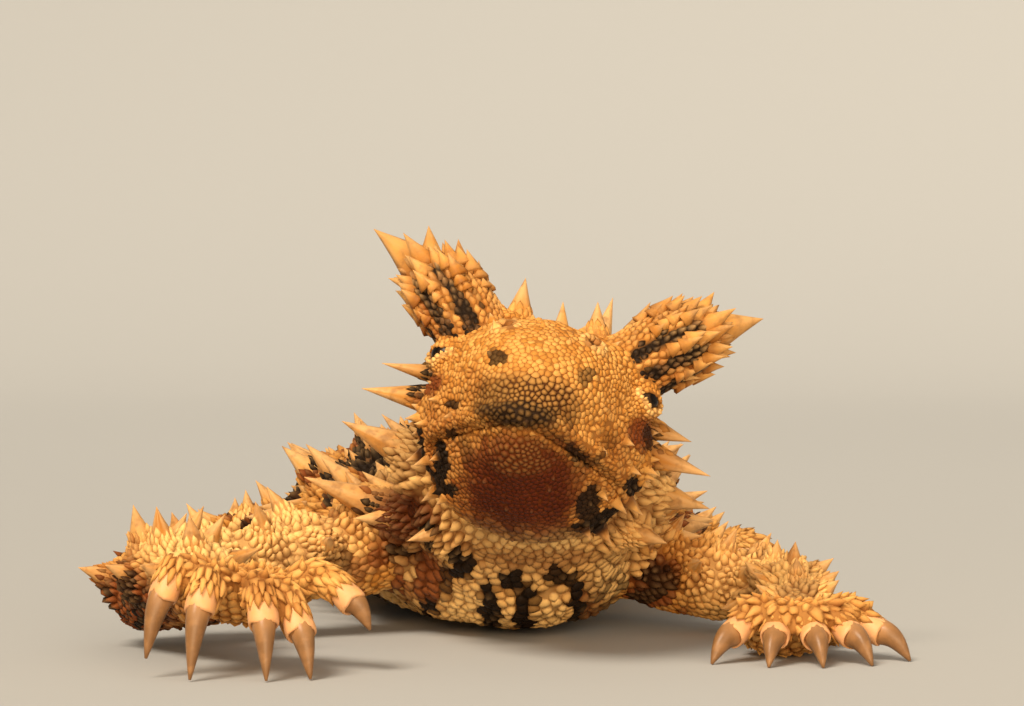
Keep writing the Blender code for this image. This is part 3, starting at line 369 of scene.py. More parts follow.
# Marks as seen from ahead: across, up, half width, half height, turn, kind and strength
FACE_MARKS = (
    (1.3, 8.8, 4.6, 0.8, -9, "pale", 0.75),
    (-0.95, 20.8, 0.66, 0.55, 0, "dark", 0.9), (5.1, 19.6, 0.65, 0.5, 20, "dark", 0.7),
    (-4.05, 17.6, 0.36, 0.36, 0, "dark", 0.9), (-4.05, 15.7, 0.34, 0.4, 0, "dark", 0.9),
    (-4.8, 13.6, 0.48, 1.35, 0, "dark", 1.0), (-3.1, 14.6, 0.35, 1.0, 10, "dark", 0.45),
    (-4.4, 11.8, 0.6, 0.4, 0, "dark", 1.0), (-6.1, 19.5, 0.5, 0.9, 0, "dark", 0.8),
    (5.15, 10.9, 0.75, 1.35, -24, "dark", 0.95), (5.2, 9.3, 0.65, 0.5, 0, "dark", 0.9),
    (8.16, 12.0, 0.5, 0.6, 0, "dark", 1.0), (9.5, 15.4, 0.6, 0.9, 0, "dark", 0.8),
    (4.4, 14.1, 0.95, 0.4, -42, "dark", 0.9), (5.9, 14.0, 0.55, 0.22, 40, "dark", 0.7),
    (6.7, 15.1, 0.5, 0.6, 0, "dark", 0.35), (7.5, 9.9, 0.3, 0.3, 0, "dark", 0.6),
    # The chin's russet and umber: the umber is partly the chin's own red-brown and partly painted shade
    # under the jaw
    (0.7, 12.0, 4.6, 3.6, 0, "red", 1.0), (0.9, 12.2, 3.8, 3.4, 0, "deep", 1.0),
    # Painted shade under the snout's overhang, above the mouth: the marks at (0.6, 17.0) and (1.2, 17.8)
    (-4.6, 16.6, 1.2, 2.2, 0, "red", 0.2), (0.6, 17.0, 3.1, 1.05, -4, "painted_shade", 1.15),
    (1.2, 17.8, 3.5, 1.7, -8, "painted_shade", 0.85), (-4.6, 14.5, 1.8, 3.2, 0, "red", 0.45),
    (6.8, 13.0, 1.6, 3.0, 0, "red", 0.3), (-0.2, 23.05, 0.5, 0.4, 0, "red", 0.6),
    (5.65, 21.8, 0.5, 0.4, 0, "red", 0.6), (8.7, 15.6, 1.0, 1.1, 0, "red", 1.0),
    (-5.6, 19.0, 0.9, 0.8, 0, "red", 1.0),
    (2.0, 18.4, 2.6, 1.2, -6, "bead", 1.0), (0.6, 14.6, 1.6, 0.5, 0, "bead", 0.6),
    (1.5, 18.4, 4.2, 2.2, 0, "bead", 0.4), (2.2, 17.9, 2.4, 0.9, -8, "red", 0.35),
    (1.4, 21.8, 4.6, 2.3, -8, "soft", 1.0), (5.6, 16.5, 1.6, 2.2, 0, "soft", 0.6),
    (1.5, 24.4, 5.0, 1.6, -8, "soft", 1.0), (0.6, 13.6, 1.7, 0.7, 0, "bead", 0.6),
)
BREAST_MARKS = (
    (-7.6, 14.2, 2.4, 2.8, 0, "pale", 0.8), (10.5, 12.0, 2.4, 3.4, 0, "pale", 0.7),
    (0.4, 8.7, 5.0, 0.9, -6, "pale", 0.9), (2.6, 7.3, 3.6, 0.6, 0, "red", 0.5),
    (-7.3, 10.0, 2.1, 1.8, 0, "red", 1.0), (-5.8, 5.8, 1.3, 2.1, 0, "red", 1.0),
    (-8.2, 5.4, 1.6, 1.7, 0, "red", 1.0), (0.5, 6.9, 3.6, 0.7, 0, "red", 0.6),
    (-7.4, 9.6, 2.3, 2.0, 0, "deep", 0.85),
    (5.3, 4.0, 1.0, 1.7, 0, "red", 0.8), (-3.1, 3.7, 1.6, 1.7, 0, "pale", 1.0),
    (2.6, 3.4, 1.4, 1.7, 0, "pale", 1.0), (-0.3, 3.4, 0.5, 1.4, 0, "pale", 0.9),
    (-1.4, 6.0, 1.2, 0.9, 0, "pale", 0.8), (1.0, 5.7, 0.9, 0.9, 0, "pale", 0.8),
    (6.7, 5.7, 1.6, 1.6, 0, "pale", 0.9), (-4.5, 7.8, 0.4, 1.6, 0, "pale", 0.8),
    (-3.4, 6.9, 0.8, 1.0, 0, "dark", 1.0), (-5.6, 8.8, 0.5, 1.0, 0, "dark", 1.0),
    (-7.4, 7.5, 1.3, 0.4, 0, "dark", 0.9), (-5.8, 3.8, 0.7, 0.6, 0, "dark", 1.0),
    (-7.7, 3.4, 0.65, 0.45, 0, "dark", 1.0), (-4.55, 5.7, 0.3, 1.2, 0, "dark", 0.8),
    (-0.1, 5.6, 0.65, 0.7, 0, "dark", 1.0), (-1.4, 3.5, 0.55, 2.3, 3, "dark", 1.0),
    (0.85, 3.1, 0.6, 2.1, -6, "dark", 1.0), (1.6, 4.7, 0.3, 0.6, -30, "dark", 0.8),
    (3.3, 6.0, 1.0, 0.75, 0, "dark", 0.95), (4.3, 4.0, 0.45, 1.3, 0, "dark", 1.0),
    (5.7, 2.2, 0.45, 0.5, 0, "dark", 0.9), (7.4, 4.6, 2.0, 2.2, 0, "speck", 0.7),
    (-8.2, 6.2, 0.5, 0.5, 0, "pale", 1.0), (-7.0, 6.3, 0.45, 0.5, 0, "pale", 1.0),
    (-9.5, 5.8, 0.5, 0.5, 0, "pale", 1.0), (-7.8, 4.6, 0.35, 0.5, 0, "pale", 1.0),
    (-8.6, 2.9, 0.45, 0.45, 0, "pale", 1.0), (-6.5, 3.8, 0.3, 0.8, 0, "pale", 0.8),
)
ARM_MARKS = (
    (-18.5, 8.6, 7.5, 3.6, -4, "pale", 0.9), (-26.0, 3.4, 3.4, 2.7, 0, "red", 1.0),
    # The dark mark at (-15.5, 2.0) is painted shadow under the right hand
    (-26.3, 3.2, 3.0, 2.3, 0, "speck", 1.0), (-15.5, 2.0, 5.0, 1.6, 0, "dark", 0.8),
    (18.0, 5.6, 5.5, 3.0, 0, "pale", 0.7),
)

# Colours as the shader takes them
OCHRE = (0.47, 0.19, 0.032)
GOLD = (0.66, 0.33, 0.085)
CREAM = (0.86, 0.54, 0.20)
RUSSET = (0.15, 0.025, 0.004)
# Umber of the chin and of a patch on the breast; on the chin it is partly painted shade under the jaw
UMBER = (0.045, 0.004, 0.001)
BROWN = (0.014, 0.007, 0.003)
# Painted shade: the dark brown mixed into the crevices between and round the scales
CREVICE_SHADE = (0.14, 0.036, 0.006)
TIP = (0.62, 0.37, 0.16)
HORN_TIP = (0.50, 0.29, 0.115)
CLAW = (0.20, 0.098, 0.038)
CLAW_ROOT = (0.36, 0.18, 0.07)
CUFF_COLOUR = (0.68, 0.35, 0.16)
STAIN = (0.24, 0.115, 0.045)
EYE_BLACK = (0.006, 0.004, 0.003)
IRIS = (0.06, 0.03, 0.012)
PALE_FLOOR = (0.42, 0.42, 0.42)

# The floor in metres: the radius of its flat part, the radius of its rise, and the height of the wall
FLOOR_RADIUS, FLOOR_RISE, WALL_HEIGHT = 1.0, 0.9, 1.5

# Lights in metres: kind, place, size (a sun's is its angle), power and colour
WARM = (1.0, 0.88, 0.70)
EMBER = (1.0, 0.74, 0.45)
LIGHTS = {
    "key": ("SUN", (-0.32, -0.55, 0.66), 0.45, 4.2, WARM),
    "fill": ("AREA", (0.30, -0.55, 0.20), 0.4, 1.1, WARM),
    "low": ("AREA", (0.0, -0.45, 0.03), 0.3, 2.3, EMBER),
}
LIT_PLACE = (0.0, -0.05, 0.012)
ROOM_LIGHT = (1.0, 0.90, 0.75)
ROOM_POWER = 0.42


def unit(vectors):
    return vectors / np.maximum(np.linalg.norm(vectors, axis=-1, keepdims=True), 1e-9)


def polar(angles):
    """Cosine and sine of angles in radians, as the last axis."""
    return np.stack([np.cos(angles), np.sin(angles)], axis=-1)


def circle(count):
    """Angles in radians evenly round a circle."""
    return np.arange(count) * 2 * math.pi / count


def smooth(value, low, high):
    """From 0 at low to 1 at high, with soft ends."""
    t = np.clip((value - low) / (high - low), 0, 1)
    return t * t * (3 - 2 * t)


def bump(distance, radius):
    return np.exp(-((distance / radius) ** 2))


def noise(places, size, seed):
    """Smooth noise from 0 to 1 at each place, in lumps about size millimetres across."""
    grid = places / size
    low = np.floor(grid).astype(np.int64)
    part = grid - low
    part = part * part * (3 - 2 * part)
    total = np.zeros(len(places))
    for corner in np.ndindex(2, 2, 2):
        key = ((low + corner) @ np.array([73856093, 19349663, 83492791]) + seed * 40503) & 0xFFFFFFFF
        key = ((key ^ (key >> 13)) * 1274126177) & 0xFFFFFFFF
        weight = np.where(corner, part, 1 - part).prod(axis=1)
        total += weight * (key ^ (key >> 16)) / 0xFFFFFFFF
    return total


def squared_gaps(places, points):
    """The squared distance from each place to each point."""
    return (places**2).sum(1)[:, None] - 2 * places @ points.T + (points**2).sum(1)


def distance_to(places, points):
    """The distance from each place to the nearest of the points, and which one it is."""
    nearest = squared_gaps(places, points).argmin(1)
    return np.linalg.norm(places - points[nearest], axis=1), nearest


def kd_tree(places):
    tree = KDTree(len(places))
    for i, place in enumerate(places):
        tree.insert(place, i)
    tree.balance()
    return tree


def smooth_rows(stations, count):
    """Rows on a smooth curve through the stations, evenly spaced along its first three columns."""
    rows = np.array(stations, float)
    at = np.concatenate([[0.0], np.cumsum(np.linalg.norm(np.diff(rows[:, :3], axis=0), axis=1))])
    slope = np.gradient(rows, at, axis=0)
    want = np.linspace(0.0, at[-1], count)
    i = np.clip(np.searchsorted(at, want, side="right") - 1, 0, len(at) - 2)
    step = (at[i + 1] - at[i])[:, None]
    t = (want - at[i])[:, None] / step
    return (
        (2 * t**3 - 3 * t**2 + 1) * rows[i]
        + (t**3 - 2 * t**2 + t) * step * slope[i]
        + (3 * t**2 - 2 * t**3) * rows[i + 1]
        + (t**3 - t**2) * step * slope[i + 1]
    )


def ring_faces(rings, sides):
    """Faces of a stack of rings that is closed at both ends by one point each."""
    faces = []
    for r in range(rings - 1):
        for k in range(sides):
            a, b = r * sides + k, r * sides + (k + 1) % sides
            faces.append((a, b, b + sides, a + sides))
    start, end = rings * sides, rings * sides + 1
    for k in range(sides):
        faces.append((start, (k + 1) % sides, k))
        faces.append((end, (rings - 1) * sides + k, (rings - 1) * sides + (k + 1) % sides))
    return faces


def by_corners(faces):
    """The faces of four corners and those of three, as two arrays."""
    return [np.array([f for f in faces if len(f) == count]) for count in (4, 3)]


def on_floor(points):
    points[:, 2] = np.maximum(points[:, 2], 0.0)
    return points


def linked(made):
    bpy.context.scene.collection.objects.link(made)
    return made


def new_object(name, points, faces, attributes=None, patches=None):
    """An object from points in millimetres and arrays of faces, smooth, with its named numbers."""
    mesh = bpy.data.meshes.new(name)
    sizes = np.concatenate([np.full(len(f), f.shape[1]) for f in faces])
    loops = np.concatenate([f.ravel() for f in faces]).astype(np.int32)
    mesh.vertices.add(len(points))
    mesh.vertices.foreach_set("co", (((points + SHIFT) * MM).astype(np.float32)).ravel())
    mesh.loops.add(len(loops))
    mesh.loops.foreach_set("vertex_index", loops)
    mesh.polygons.add(len(sizes))
    starts = np.concatenate([[0], np.cumsum(sizes)[:-1]]).astype(np.int32)
    mesh.polygons.foreach_set("loop_start", starts)
    mesh.polygons.foreach_set("loop_total", sizes.astype(np.int32))
    mesh.update(calc_edges=True)
    mesh.validate()
    mesh.shade_smooth()
    for key, values in (attributes or {}).items():
        mesh.attributes.new(key, "FLOAT", "POINT").data.foreach_set("value", values.astype(np.float32))
    if patches is not None:
        unwrap = mesh.uv_layers.new(name="OFBake")
        unwrap.data.foreach_set("uv", patches[loops].astype(np.float32).ravel())
    return linked(bpy.data.objects.new(name, mesh))


def joined(meshes):
    """One list of points and one of faces from several."""
    points, faces, start = [], [], 0
    for mesh_points, mesh_faces in meshes:
        points.append(mesh_points)
        faces += [tuple(i + start for i in face) for face in mesh_faces]
        start += len(mesh_points)
    return np.vstack(points), faces


class Tube:
    """A body part swept along stations of x, y, z, half width, height above and depth below."""

    def __init__(self, stations, grow=0.0, fine=81):
        stations = [tuple(s) if len(s) == 6 else (*s, s[3], s[3]) for s in stations]
        self.fine = fine
        self.rows = smooth_rows(stations, fine)
        self.rows[:, 3:] += grow
        self.along = unit(np.gradient(self.rows[:, :3], axis=0))
        self.side = unit(np.cross(self.along, UP))
        if self.side[fine // 2, 0] < 0:
            self.side = -self.side
        self.up = unit(np.cross(self.side, self.along))
        if self.up[fine // 2, 2] < 0:
            self.up = -self.up
        self.length = np.linalg.norm(np.diff(self.rows[:, :3], axis=0), axis=1).sum()

    def point(self, u, angle):
        """Skin point at share u of the length. The angle runs from +X (0) over the top (90)."""
        f = min(max(u, 0.0), 1.0) * (self.fine - 1)
        i = min(int(f), self.fine - 2)
        w = f - i
        row, side, up = ((1 - w) * a[i] + w * a[i + 1] for a in (self.rows, self.side, self.up))
        c, s = math.cos(math.radians(angle)), math.sin(math.radians(angle))
        return row[:3] + side * row[3] * c + up * (row[4] if s > 0 else row[5]) * s

    def row_at(self, u):
        return int(min(max(u, 0.0), 1.0) * (self.fine - 1))

    def forward(self, u):
        return self.along[self.row_at(u)]

    def thickness(self, u):
        """How large the thorns are at share u: less where the part is thin."""
        return 0.62 + 0.38 * self.rows[self.row_at(u), 3] / self.rows[:, 3].max()

    def normal(self, u, angle):
        across = self.point(u, angle + 1) - self.point(u, angle - 1)
        down = self.point(min(u + 0.01, 1), angle) - self.point(max(u - 0.01, 0), angle)
        found = unit(np.cross(across, down))
        return found if found @ (self.point(u, angle) - self.rows[self.row_at(u), :3]) > 0 else -found

    def locate(self, places):
        """For places near the part: share of its length, angle round it, and level, 1 on its skin."""
        i = squared_gaps(places, self.rows[:, :3]).argmin(1)
        off = places - self.rows[i, :3]
        u = (i / (self.fine - 1)) + (off * self.along[i]).sum(1) / self.length
        beyond = np.maximum(np.maximum(-u, u - 1), 0) * self.length
        wide = (off * self.side[i]).sum(1) / self.rows[i, 3]
        tall = (off * self.up[i]).sum(1)
        tall = tall / np.where(tall > 0, self.rows[i, 4], self.rows[i, 5])
        level = np.hypot(np.hypot(wide, tall), beyond / self.rows[i, 3])
        return np.clip(u, 0, 1), np.degrees(np.arctan2(tall, wide)) % 360, level

    def mesh(self, rings, sides, domes=5):
        """Points and faces of the closed tube, with round ends, flat where it would pass the floor."""
        at = np.linspace(0, self.fine - 1, rings).round().astype(int)
        turns = np.arange(1, domes + 1) * math.pi / 2 / (domes + 1)
        levels = [(at[0], -math.sin(t), math.cos(t)) for t in turns[::-1]]
        levels += [(i, 0.0, 1.0) for i in at]
        levels += [(at[-1], math.sin(t), math.cos(t)) for t in turns]
        c, s = polar(circle(sides)).T[:, :, None]
        points = []
        for i, push, share in levels:
            row = self.rows[i]
            centre = row[:3] + self.along[i] * push * row[3:].min()
            tall = np.where(s > 0, row[4], row[5])
            points.append(centre + (self.side[i] * row[3] * c + self.up[i] * tall * s) * share)
        first, last = self.rows[0], self.rows[-1]
        points.append([first[:3] - self.along[0] * first[3:].min()])
        points.append([last[:3] + self.along[-1] * last[3:].min()])
        return on_floor(np.vstack(points)), ring_faces(len(levels), sides)


def head_turn():
    angles = (math.radians(HEAD_PITCH), 0.0, math.radians(HEAD_YAW))
    tilt = Euler((0.0, math.radians(HEAD_ROLL), 0.0)).to_matrix()
    return np.array(tilt @ Euler(angles, "XYZ").to_matrix())


HEAD_TURN = head_turn()


def from_head(points):
    """Points given in the head's own axes, placed in the animal."""
    return np.asarray(points, float) @ HEAD_TURN.T + EYE_MIDDLE


def to_head(points):
    return (points - EYE_MIDDLE) @ HEAD_TURN


def mirrored(points, side):
    return np.asarray(points, float) * np.array([side, 1, 1])


def head_section(y):
    rows = np.array(HEAD_SECTIONS)
    return [np.interp(y, rows[:, 0], rows[:, k]) for k in range(1, 6)]


def head_point(y, turn, grow=0.0):
    """A point on the head: turn goes from 0 at the crown to 180 under the chin, minus on the right."""
    top, bottom, brow, cheek, jaw = head_section(y)
    level = (1 + math.cos(math.radians(turn))) / 2
    width = np.interp(level, (0, JAW_LEVEL, CHEEK_LEVEL, BROW_LEVEL, 1), (jaw, jaw, cheek, brow, brow))
    edge = (1 - abs(2 * level - 1) ** HEAD_BOX) ** 0.5
    height = bottom - grow + (top - bottom + 2 * grow) * level
    return np.array([math.copysign((width + grow) * edge, turn), y, height])


def head_turn_at(y, height):
    """The turn at which the head's section at y reaches a height."""
    top, bottom = head_section(y)[:2]
    return math.degrees(math.acos(2 * (height - bottom) / (top - bottom) - 1))


def head_locate(places):
    """As Tube.locate, for the head, with the length from snout to nape."""
    x, y, z = to_head(places).T
    top, bottom, _, cheek, _ = head_section(y)
    wide = x / cheek
    tall = (2 * z - top - bottom) / (top - bottom)
    beyond = np.maximum(np.maximum(SNOUT - y, y - NAPE), 0)
    level = np.hypot(np.hypot(wide, tall) * 0.88, beyond / 3)
    share = np.clip((y - SNOUT) / (NAPE - SNOUT), 0, 1)
    return share, np.degrees(np.arctan2(tall, wide)) % 360, level


def head_mesh(rings, sides, grow):
    share = (1 - np.cos(np.linspace(0, math.pi, rings))) / 2
    points = []
    for y in SNOUT + (NAPE - SNOUT) * share:
        for k in range(sides):
            turn = (k + 0.5) * 360 / sides
            points.append(head_point(y, turn if turn < 180 else turn - 360, grow))
    points += [(0.0, SNOUT - 0.35, -4.3), (0.0, NAPE + 0.8, -3.4)]
    points = np.array(points)
    points[:, 1] *= 1 + grow / NAPE
    return from_head(points), ring_faces(rings, sides)


def head_surface(y, turn):
    """Where the head's skin is, and which way it faces there, in the animal's axes."""
    here = head_point(y, turn)
    along = head_point(y + 0.1, turn) - head_point(y - 0.1, turn)
    around = head_point(y, turn + 1) - head_point(y, turn - 1)
    facing = unit(np.cross(along, around))
    if facing @ (here - np.array([0.0, y + 0.6, -3.0])) < 0:
        facing = -facing
    return from_head(here), HEAD_TURN @ facing


def mouth_line():
    """Points in the head's axes along the mouth, from its right corner round the snout to the left."""
    half = []
    for share in np.linspace(0, 1, MOUTH_POINTS // 2 + 1)[:-1]:
        y = MOUTH_BACK + (SNOUT + 0.25 - MOUTH_BACK) * share**0.75
        height = MOUTH_HEIGHT + (MOUTH_SNOUT - MOUTH_HEIGHT) * share**6 - MOUTH_DROP * share**2
        half.append(head_point(y, head_turn_at(y, height)))
    right = [(-x, y, z) for x, y, z in half]
    return np.array(right + [(0.0, SNOUT - 0.1, MOUTH_SNOUT - MOUTH_DROP)] + half[::-1])


def nostril_place(side):
    y, turn = NOSTRIL_PLACE
    return head_point(y, turn * side)


def ear_place(side):
    y, z = EAR_PLACE
    return head_point(y, side * head_turn_at(y, z))


def ball(centre, size, rings=24, sides=40):
    """Points and faces of an ellipsoid."""
    points = []
    for r in range(1, rings + 1):
        lift = math.pi * r / (rings + 1)
        for k in range(sides):
            turn = 2 * math.pi * k / sides
            points.append((math.sin(lift) * math.cos(turn), math.sin(lift) * math.sin(turn), math.cos(lift)))
    points += [(0, 0, 1), (0, 0, -1)]
    return on_floor(np.array(points) * np.array(size) + np.array(centre)), ring_faces(rings, sides)


def heading_out(degrees):
    """The way ahead on the floor at an angle from -Y towards +X."""
    heading = math.radians(degrees)
    return np.array([math.sin(heading), -math.cos(heading), 0.0])


def toe_parts(foot, toe):
    """Stations of one toe, and the root and tip of its claw."""
    spread, end_height, claw_height = toe
    out = heading_out(foot["heading"] + spread)
    centre = np.array([*foot["palm"][:2], 0.0])
    reach = foot["reach"]
    stations = [
        (*(centre + out * reach * 0.3 + UP * foot["palm"][2]), TOE_RADIUS * 1.1),
        (*(centre + out * reach * 0.68 + UP * (end_height + foot["knuckle"]) * 0.55), TOE_RADIUS * 1.05),
        (*(centre + out * reach * 0.94 + UP * (end_height + 0.35)), TOE_RADIUS),
    ]
    claw_root = centre + out * reach + UP * end_height
    claw_tip = centre + out * (reach + foot["claw_out"]) + UP * (claw_height + 0.02)
    return stations, claw_root, claw_tip


class Eye:
    """One eye: its middle, the way it looks, and how far a place lies outside the lids' opening."""

    def __init__(self, side):
        self.centre = from_head(mirrored(EYE_PLACE, side))
        self.look = HEAD_TURN @ unit(mirrored(EYE_LOOK, side))
        self.across = unit(np.cross(self.look, HEAD_TURN @ UP))
        self.up = np.cross(self.across, self.look)

    def outside(self, places):
        """Distance from the eye's middle, and degrees outside the opening, less than 0 inside it."""
        off = places - self.centre
        reach = np.linalg.norm(off, axis=1)
        ahead, wide, tall = (off @ axis for axis in (self.look, self.across, self.up))
        wide = np.degrees(np.arctan2(np.abs(wide), ahead))
        tall = np.degrees(np.arctan2(tall, np.maximum(ahead, 0.01)))
        half, top, bottom = LIDS
        return reach, np.maximum.reduce([wide - half, tall - top, -tall - bottom + wide * 0.45])


class Horn:
    """One horn: its tube, and angles round it from ahead (0) over the top (90) to behind (180)."""

    def __init__(self, name, grow=0.0):
        self.side = SIDES[name]
        stations = np.array(HORN_STATIONS)
        places = from_head(mirrored(stations[:, :3], self.side))
        self.tube = Tube(np.hstack([places, stations[:, 3:]]), grow)
        self.axis = self.tube.along[40]
        ahead = HEAD_TURN @ np.array([0.0, -1.0, 0.0])
        self.ahead = unit(ahead - self.axis * (ahead @ self.axis))
        self.upper = np.cross(self.axis, self.ahead)
        if (HEAD_TURN @ UP) @ self.upper < 0:
            self.upper = -self.upper

    def rows_at(self, share):
        return (share * (self.tube.fine - 1)).astype(int)

    def locate(self, places):
        """Share along the horn, and the angle round it from -180 to 180."""
        share = self.tube.locate(places)[0]
        off = places - self.tube.rows[self.rows_at(share), :3]
        return share, np.degrees(np.arctan2(off @ self.upper, off @ self.ahead))

    def point(self, u, angle):
        """A place on the horn and the way the skin faces there."""
        row = self.tube.rows[self.tube.row_at(u)]
        c, s = math.cos(math.radians(angle)), math.sin(math.radians(angle))
        facing = self.ahead * c + self.upper * s
        return row[:3] + facing * row[3], facing

    def thorn_root(self, tip):
        """Where a thorn with this tip leaves the horn, leaning along it."""
        line = self.tube.rows[:, :3]
        i = np.linalg.norm(line - tip, axis=1).argmin()
        ahead = self.tube.along[i]
        out = tip - line[i]
        out = unit(out - ahead * (out @ ahead))
        return tip - ahead * 1.9 - out * 1.2


class Body:
    """The lines of all parts of the skin, to tell which part a place belongs to and where on it."""

    def __init__(self):
        self.lines = {"head": None, "torso": Tube(TORSO_STATIONS), "neck": Tube(NECK_STATIONS)}
        self.lines["tail"] = Tube(TAIL_STATIONS)
        self.kind = {name: name for name in self.lines}
        for name, stations in LIMBS.items():
            self.lines[name] = Tube(stations, fine=33)
            self.kind[name] = "arms" if "arm" in name else "legs"
        for name, foot in FEET.items():
            kind = "hands" if "hand" in name else "feet"
            out = heading_out(foot["heading"]) * foot["size"][1] * 0.8
            wide, tall = foot["size"][0], foot["size"][2]
            palm = [(*(np.array(foot["palm"]) + out * k), wide, tall, tall) for k in (-1, 0, 1)]
            self.lines[name] = Tube(palm, fine=17)
            self.kind[name] = kind
            for k, toe in enumerate(foot["toes"]):
                self.lines[f"{name}_toe_{k}"] = Tube(toe_parts(foot, toe)[0], fine=17)
                self.kind[f"{name}_toe_{k}"] = kind
        self.names = list(self.lines)

    def locate(self, places):
        """The part of each place as a number, and the share and angle on it."""
        best = np.full(len(places), np.inf)
        part, share, angle = (np.zeros(len(places)) for _ in range(3))
        for k, line in enumerate(self.lines.values()):
            found = line.locate(places) if line else head_locate(places)
            nearer = found[2] < best
            best[nearer] = found[2][nearer]
            part[nearer], share[nearer], angle[nearer] = k, found[0][nearer], found[1][nearer]
        return part.astype(int), share, angle

    def regions(self, part, share):
        """The region of each place: the kind of its part, with the head and torso in two each."""
        found = np.array([self.kind[name] for name in self.names], dtype="<U12")[part]
        found[found == "head"] = "nape"
        found[(found == "nape") & (share < FACE_SHARE)] = "face"
        found[found == "torso"] = "torso_rear"
        found[(found == "torso_rear") & (share < 0.5)] = "torso_front"
        return found

    def backward(self, part, share):
        """The way the coat lies: from the snout to the tail, and from the root of a limb to its end."""
        found = np.zeros((len(part), 3))
        for k, (name, line) in enumerate(self.lines.items()):
            here = part == k
            if line is None:
                found[here] = HEAD_TURN @ np.array([0.0, 1.0, 0.25])
            else:
                rows = np.clip((share[here] * (line.fine - 1)).astype(int), 0, line.fine - 1)
                found[here] = line.along[rows] * (-1 if name == "neck" else 1)
        return found


def remeshed(meshes, cell):
    """One closed surface of quads round all the meshes, in millimetres."""
    points, faces = joined(meshes)
    mesh = bpy.data.meshes.new("forms")
    mesh.from_pydata(points.tolist(), [], faces)
    work = linked(bpy.data.objects.new("forms", mesh))
    change = work.modifiers.new("one skin", "REMESH")
    change.mode = "VOXEL"
    change.voxel_size = cell
    graph = bpy.context.evaluated_depsgraph_get()
    result = bpy.data.meshes.new_from_object(work.evaluated_get(graph))
    bpy.data.objects.remove(work, do_unlink=True)
    return result


def mesh_arrays(mesh):
    points = np.empty(len(mesh.vertices) * 3)
    mesh.vertices.foreach_get("co", points)
    mesh.calc_loop_triangles()
    corners = np.empty(len(mesh.loop_triangles) * 3, np.int32)
    mesh.loop_triangles.foreach_get("vertices", corners)
    return points.reshape(-1, 3), corners.reshape(-1, 3)


class Surface:
    """Triangles with their normals and neighbours, for moving points smoothly."""

    def __init__(self, points, triangles):
        self.points = points
        self.triangles = triangles
        ends = np.vstack([triangles[:, [0, 1]], triangles[:, [1, 2]], triangles[:, [2, 0]]])
        self.edges = np.unique(np.sort(ends, axis=1), axis=0)
        self.count = np.bincount(self.edges.ravel(), minlength=len(points))[:, None]

    def averages(self):
        a, b = self.edges.T
        total = np.empty_like(self.points)
        for k in range(3):
            column = self.points[:, k]
            total[:, k] = np.bincount(a, column[b], len(column)) + np.bincount(b, column[a], len(column))
        return total / self.count

    def normals(self):
        a, b, c = (self.points[self.triangles[:, k]] for k in range(3))
        across = np.cross(b - a, c - a)
        total = np.zeros_like(self.points)
        for k in range(3):
            for j in range(3):
                total[:, k] += np.bincount(self.triangles[:, j], across[:, k], len(self.points))
        return unit(total)

    def relax(self, rounds):
        """Smooths without shrinking: each round pulls in and then pushes out a little more."""
        for _ in range(rounds):
            self.points += 0.5 * (self.averages() - self.points)
            self.points -= 0.52 * (self.averages() - self.points)

    def fill(self, rounds):
        """Rounds the hollow corners where forms meet, and leaves what stands out."""
        for _ in range(rounds):
            normals = self.normals()
            move = self.averages() - self.points
            hollow = np.maximum((move * normals).sum(1), 0)[:, None]
            self.points += 0.7 * hollow * normals


def refine(mesh, chosen):
    """Splits the quads whose middles are chosen into four each, and all the rest as they need."""
    work = bmesh.new()
    work.from_mesh(mesh)
    middles = np.array([f.calc_center_median()[:] for f in work.faces])
    wanted = chosen(middles)
    edges = {e for f, yes in zip(work.faces, wanted) if yes for e in f.edges}
    bmesh.ops.subdivide_edges(work, edges=list(edges), cuts=1, use_grid_fill=True)
    work.to_mesh(mesh)
    work.free()


def on_face(middles):
    """True on the head ahead of its nape."""
    return (to_head(middles)[:, 1] < 4.6) & (head_locate(middles)[2] < 1.3)


def on_mouth(middles):
    """True round the mouth and the eyes."""
    local = to_head(middles)
    snout = (local[:, 1] < 2.4) & (local[:, 2] < -2.4) & (local[:, 2] > -8.6)
    eyes = (np.abs(local[:, 0]) > 5.0) & (np.abs(local[:, 1]) < 2.6) & (np.abs(local[:, 2]) < 2.6)
    return (snout | eyes) & (head_locate(middles)[2] < 1.3)


def skin_meshes():
    """The closed forms that the skin is drawn over."""
    meshes = [
        Tube(TORSO_STATIONS, -INSET).mesh(50, 60),
        Tube(NECK_STATIONS, -INSET).mesh(24, 50),
        ball(KNOB_PLACE, np.array(KNOB_SIZE) - INSET),
        Tube(TAIL_STATIONS, -INSET).mesh(60, 36),
        head_mesh(60, 90, -HEAD_INSET),
    ]
    for stations in LIMBS.values():
        meshes.append(Tube(stations, -INSET).mesh(20, 28))
    for foot in FEET.values():
        meshes.append(ball(foot["palm"], np.array(foot["size"]) - INSET * 0.6))
        for toe in foot["toes"]:
            meshes.append(Tube(toe_parts(foot, toe)[0], -0.2).mesh(12, 18, 3))
    for name, side in SIDES.items():
        meshes.append(Tube(Horn(name).tube.rows[:44], -INSET).mesh(20, 28))
        meshes.append(ball(from_head(mirrored(EYE_PLACE, side)), (EYE_RADIUS + 0.1,) * 3))
    return meshes


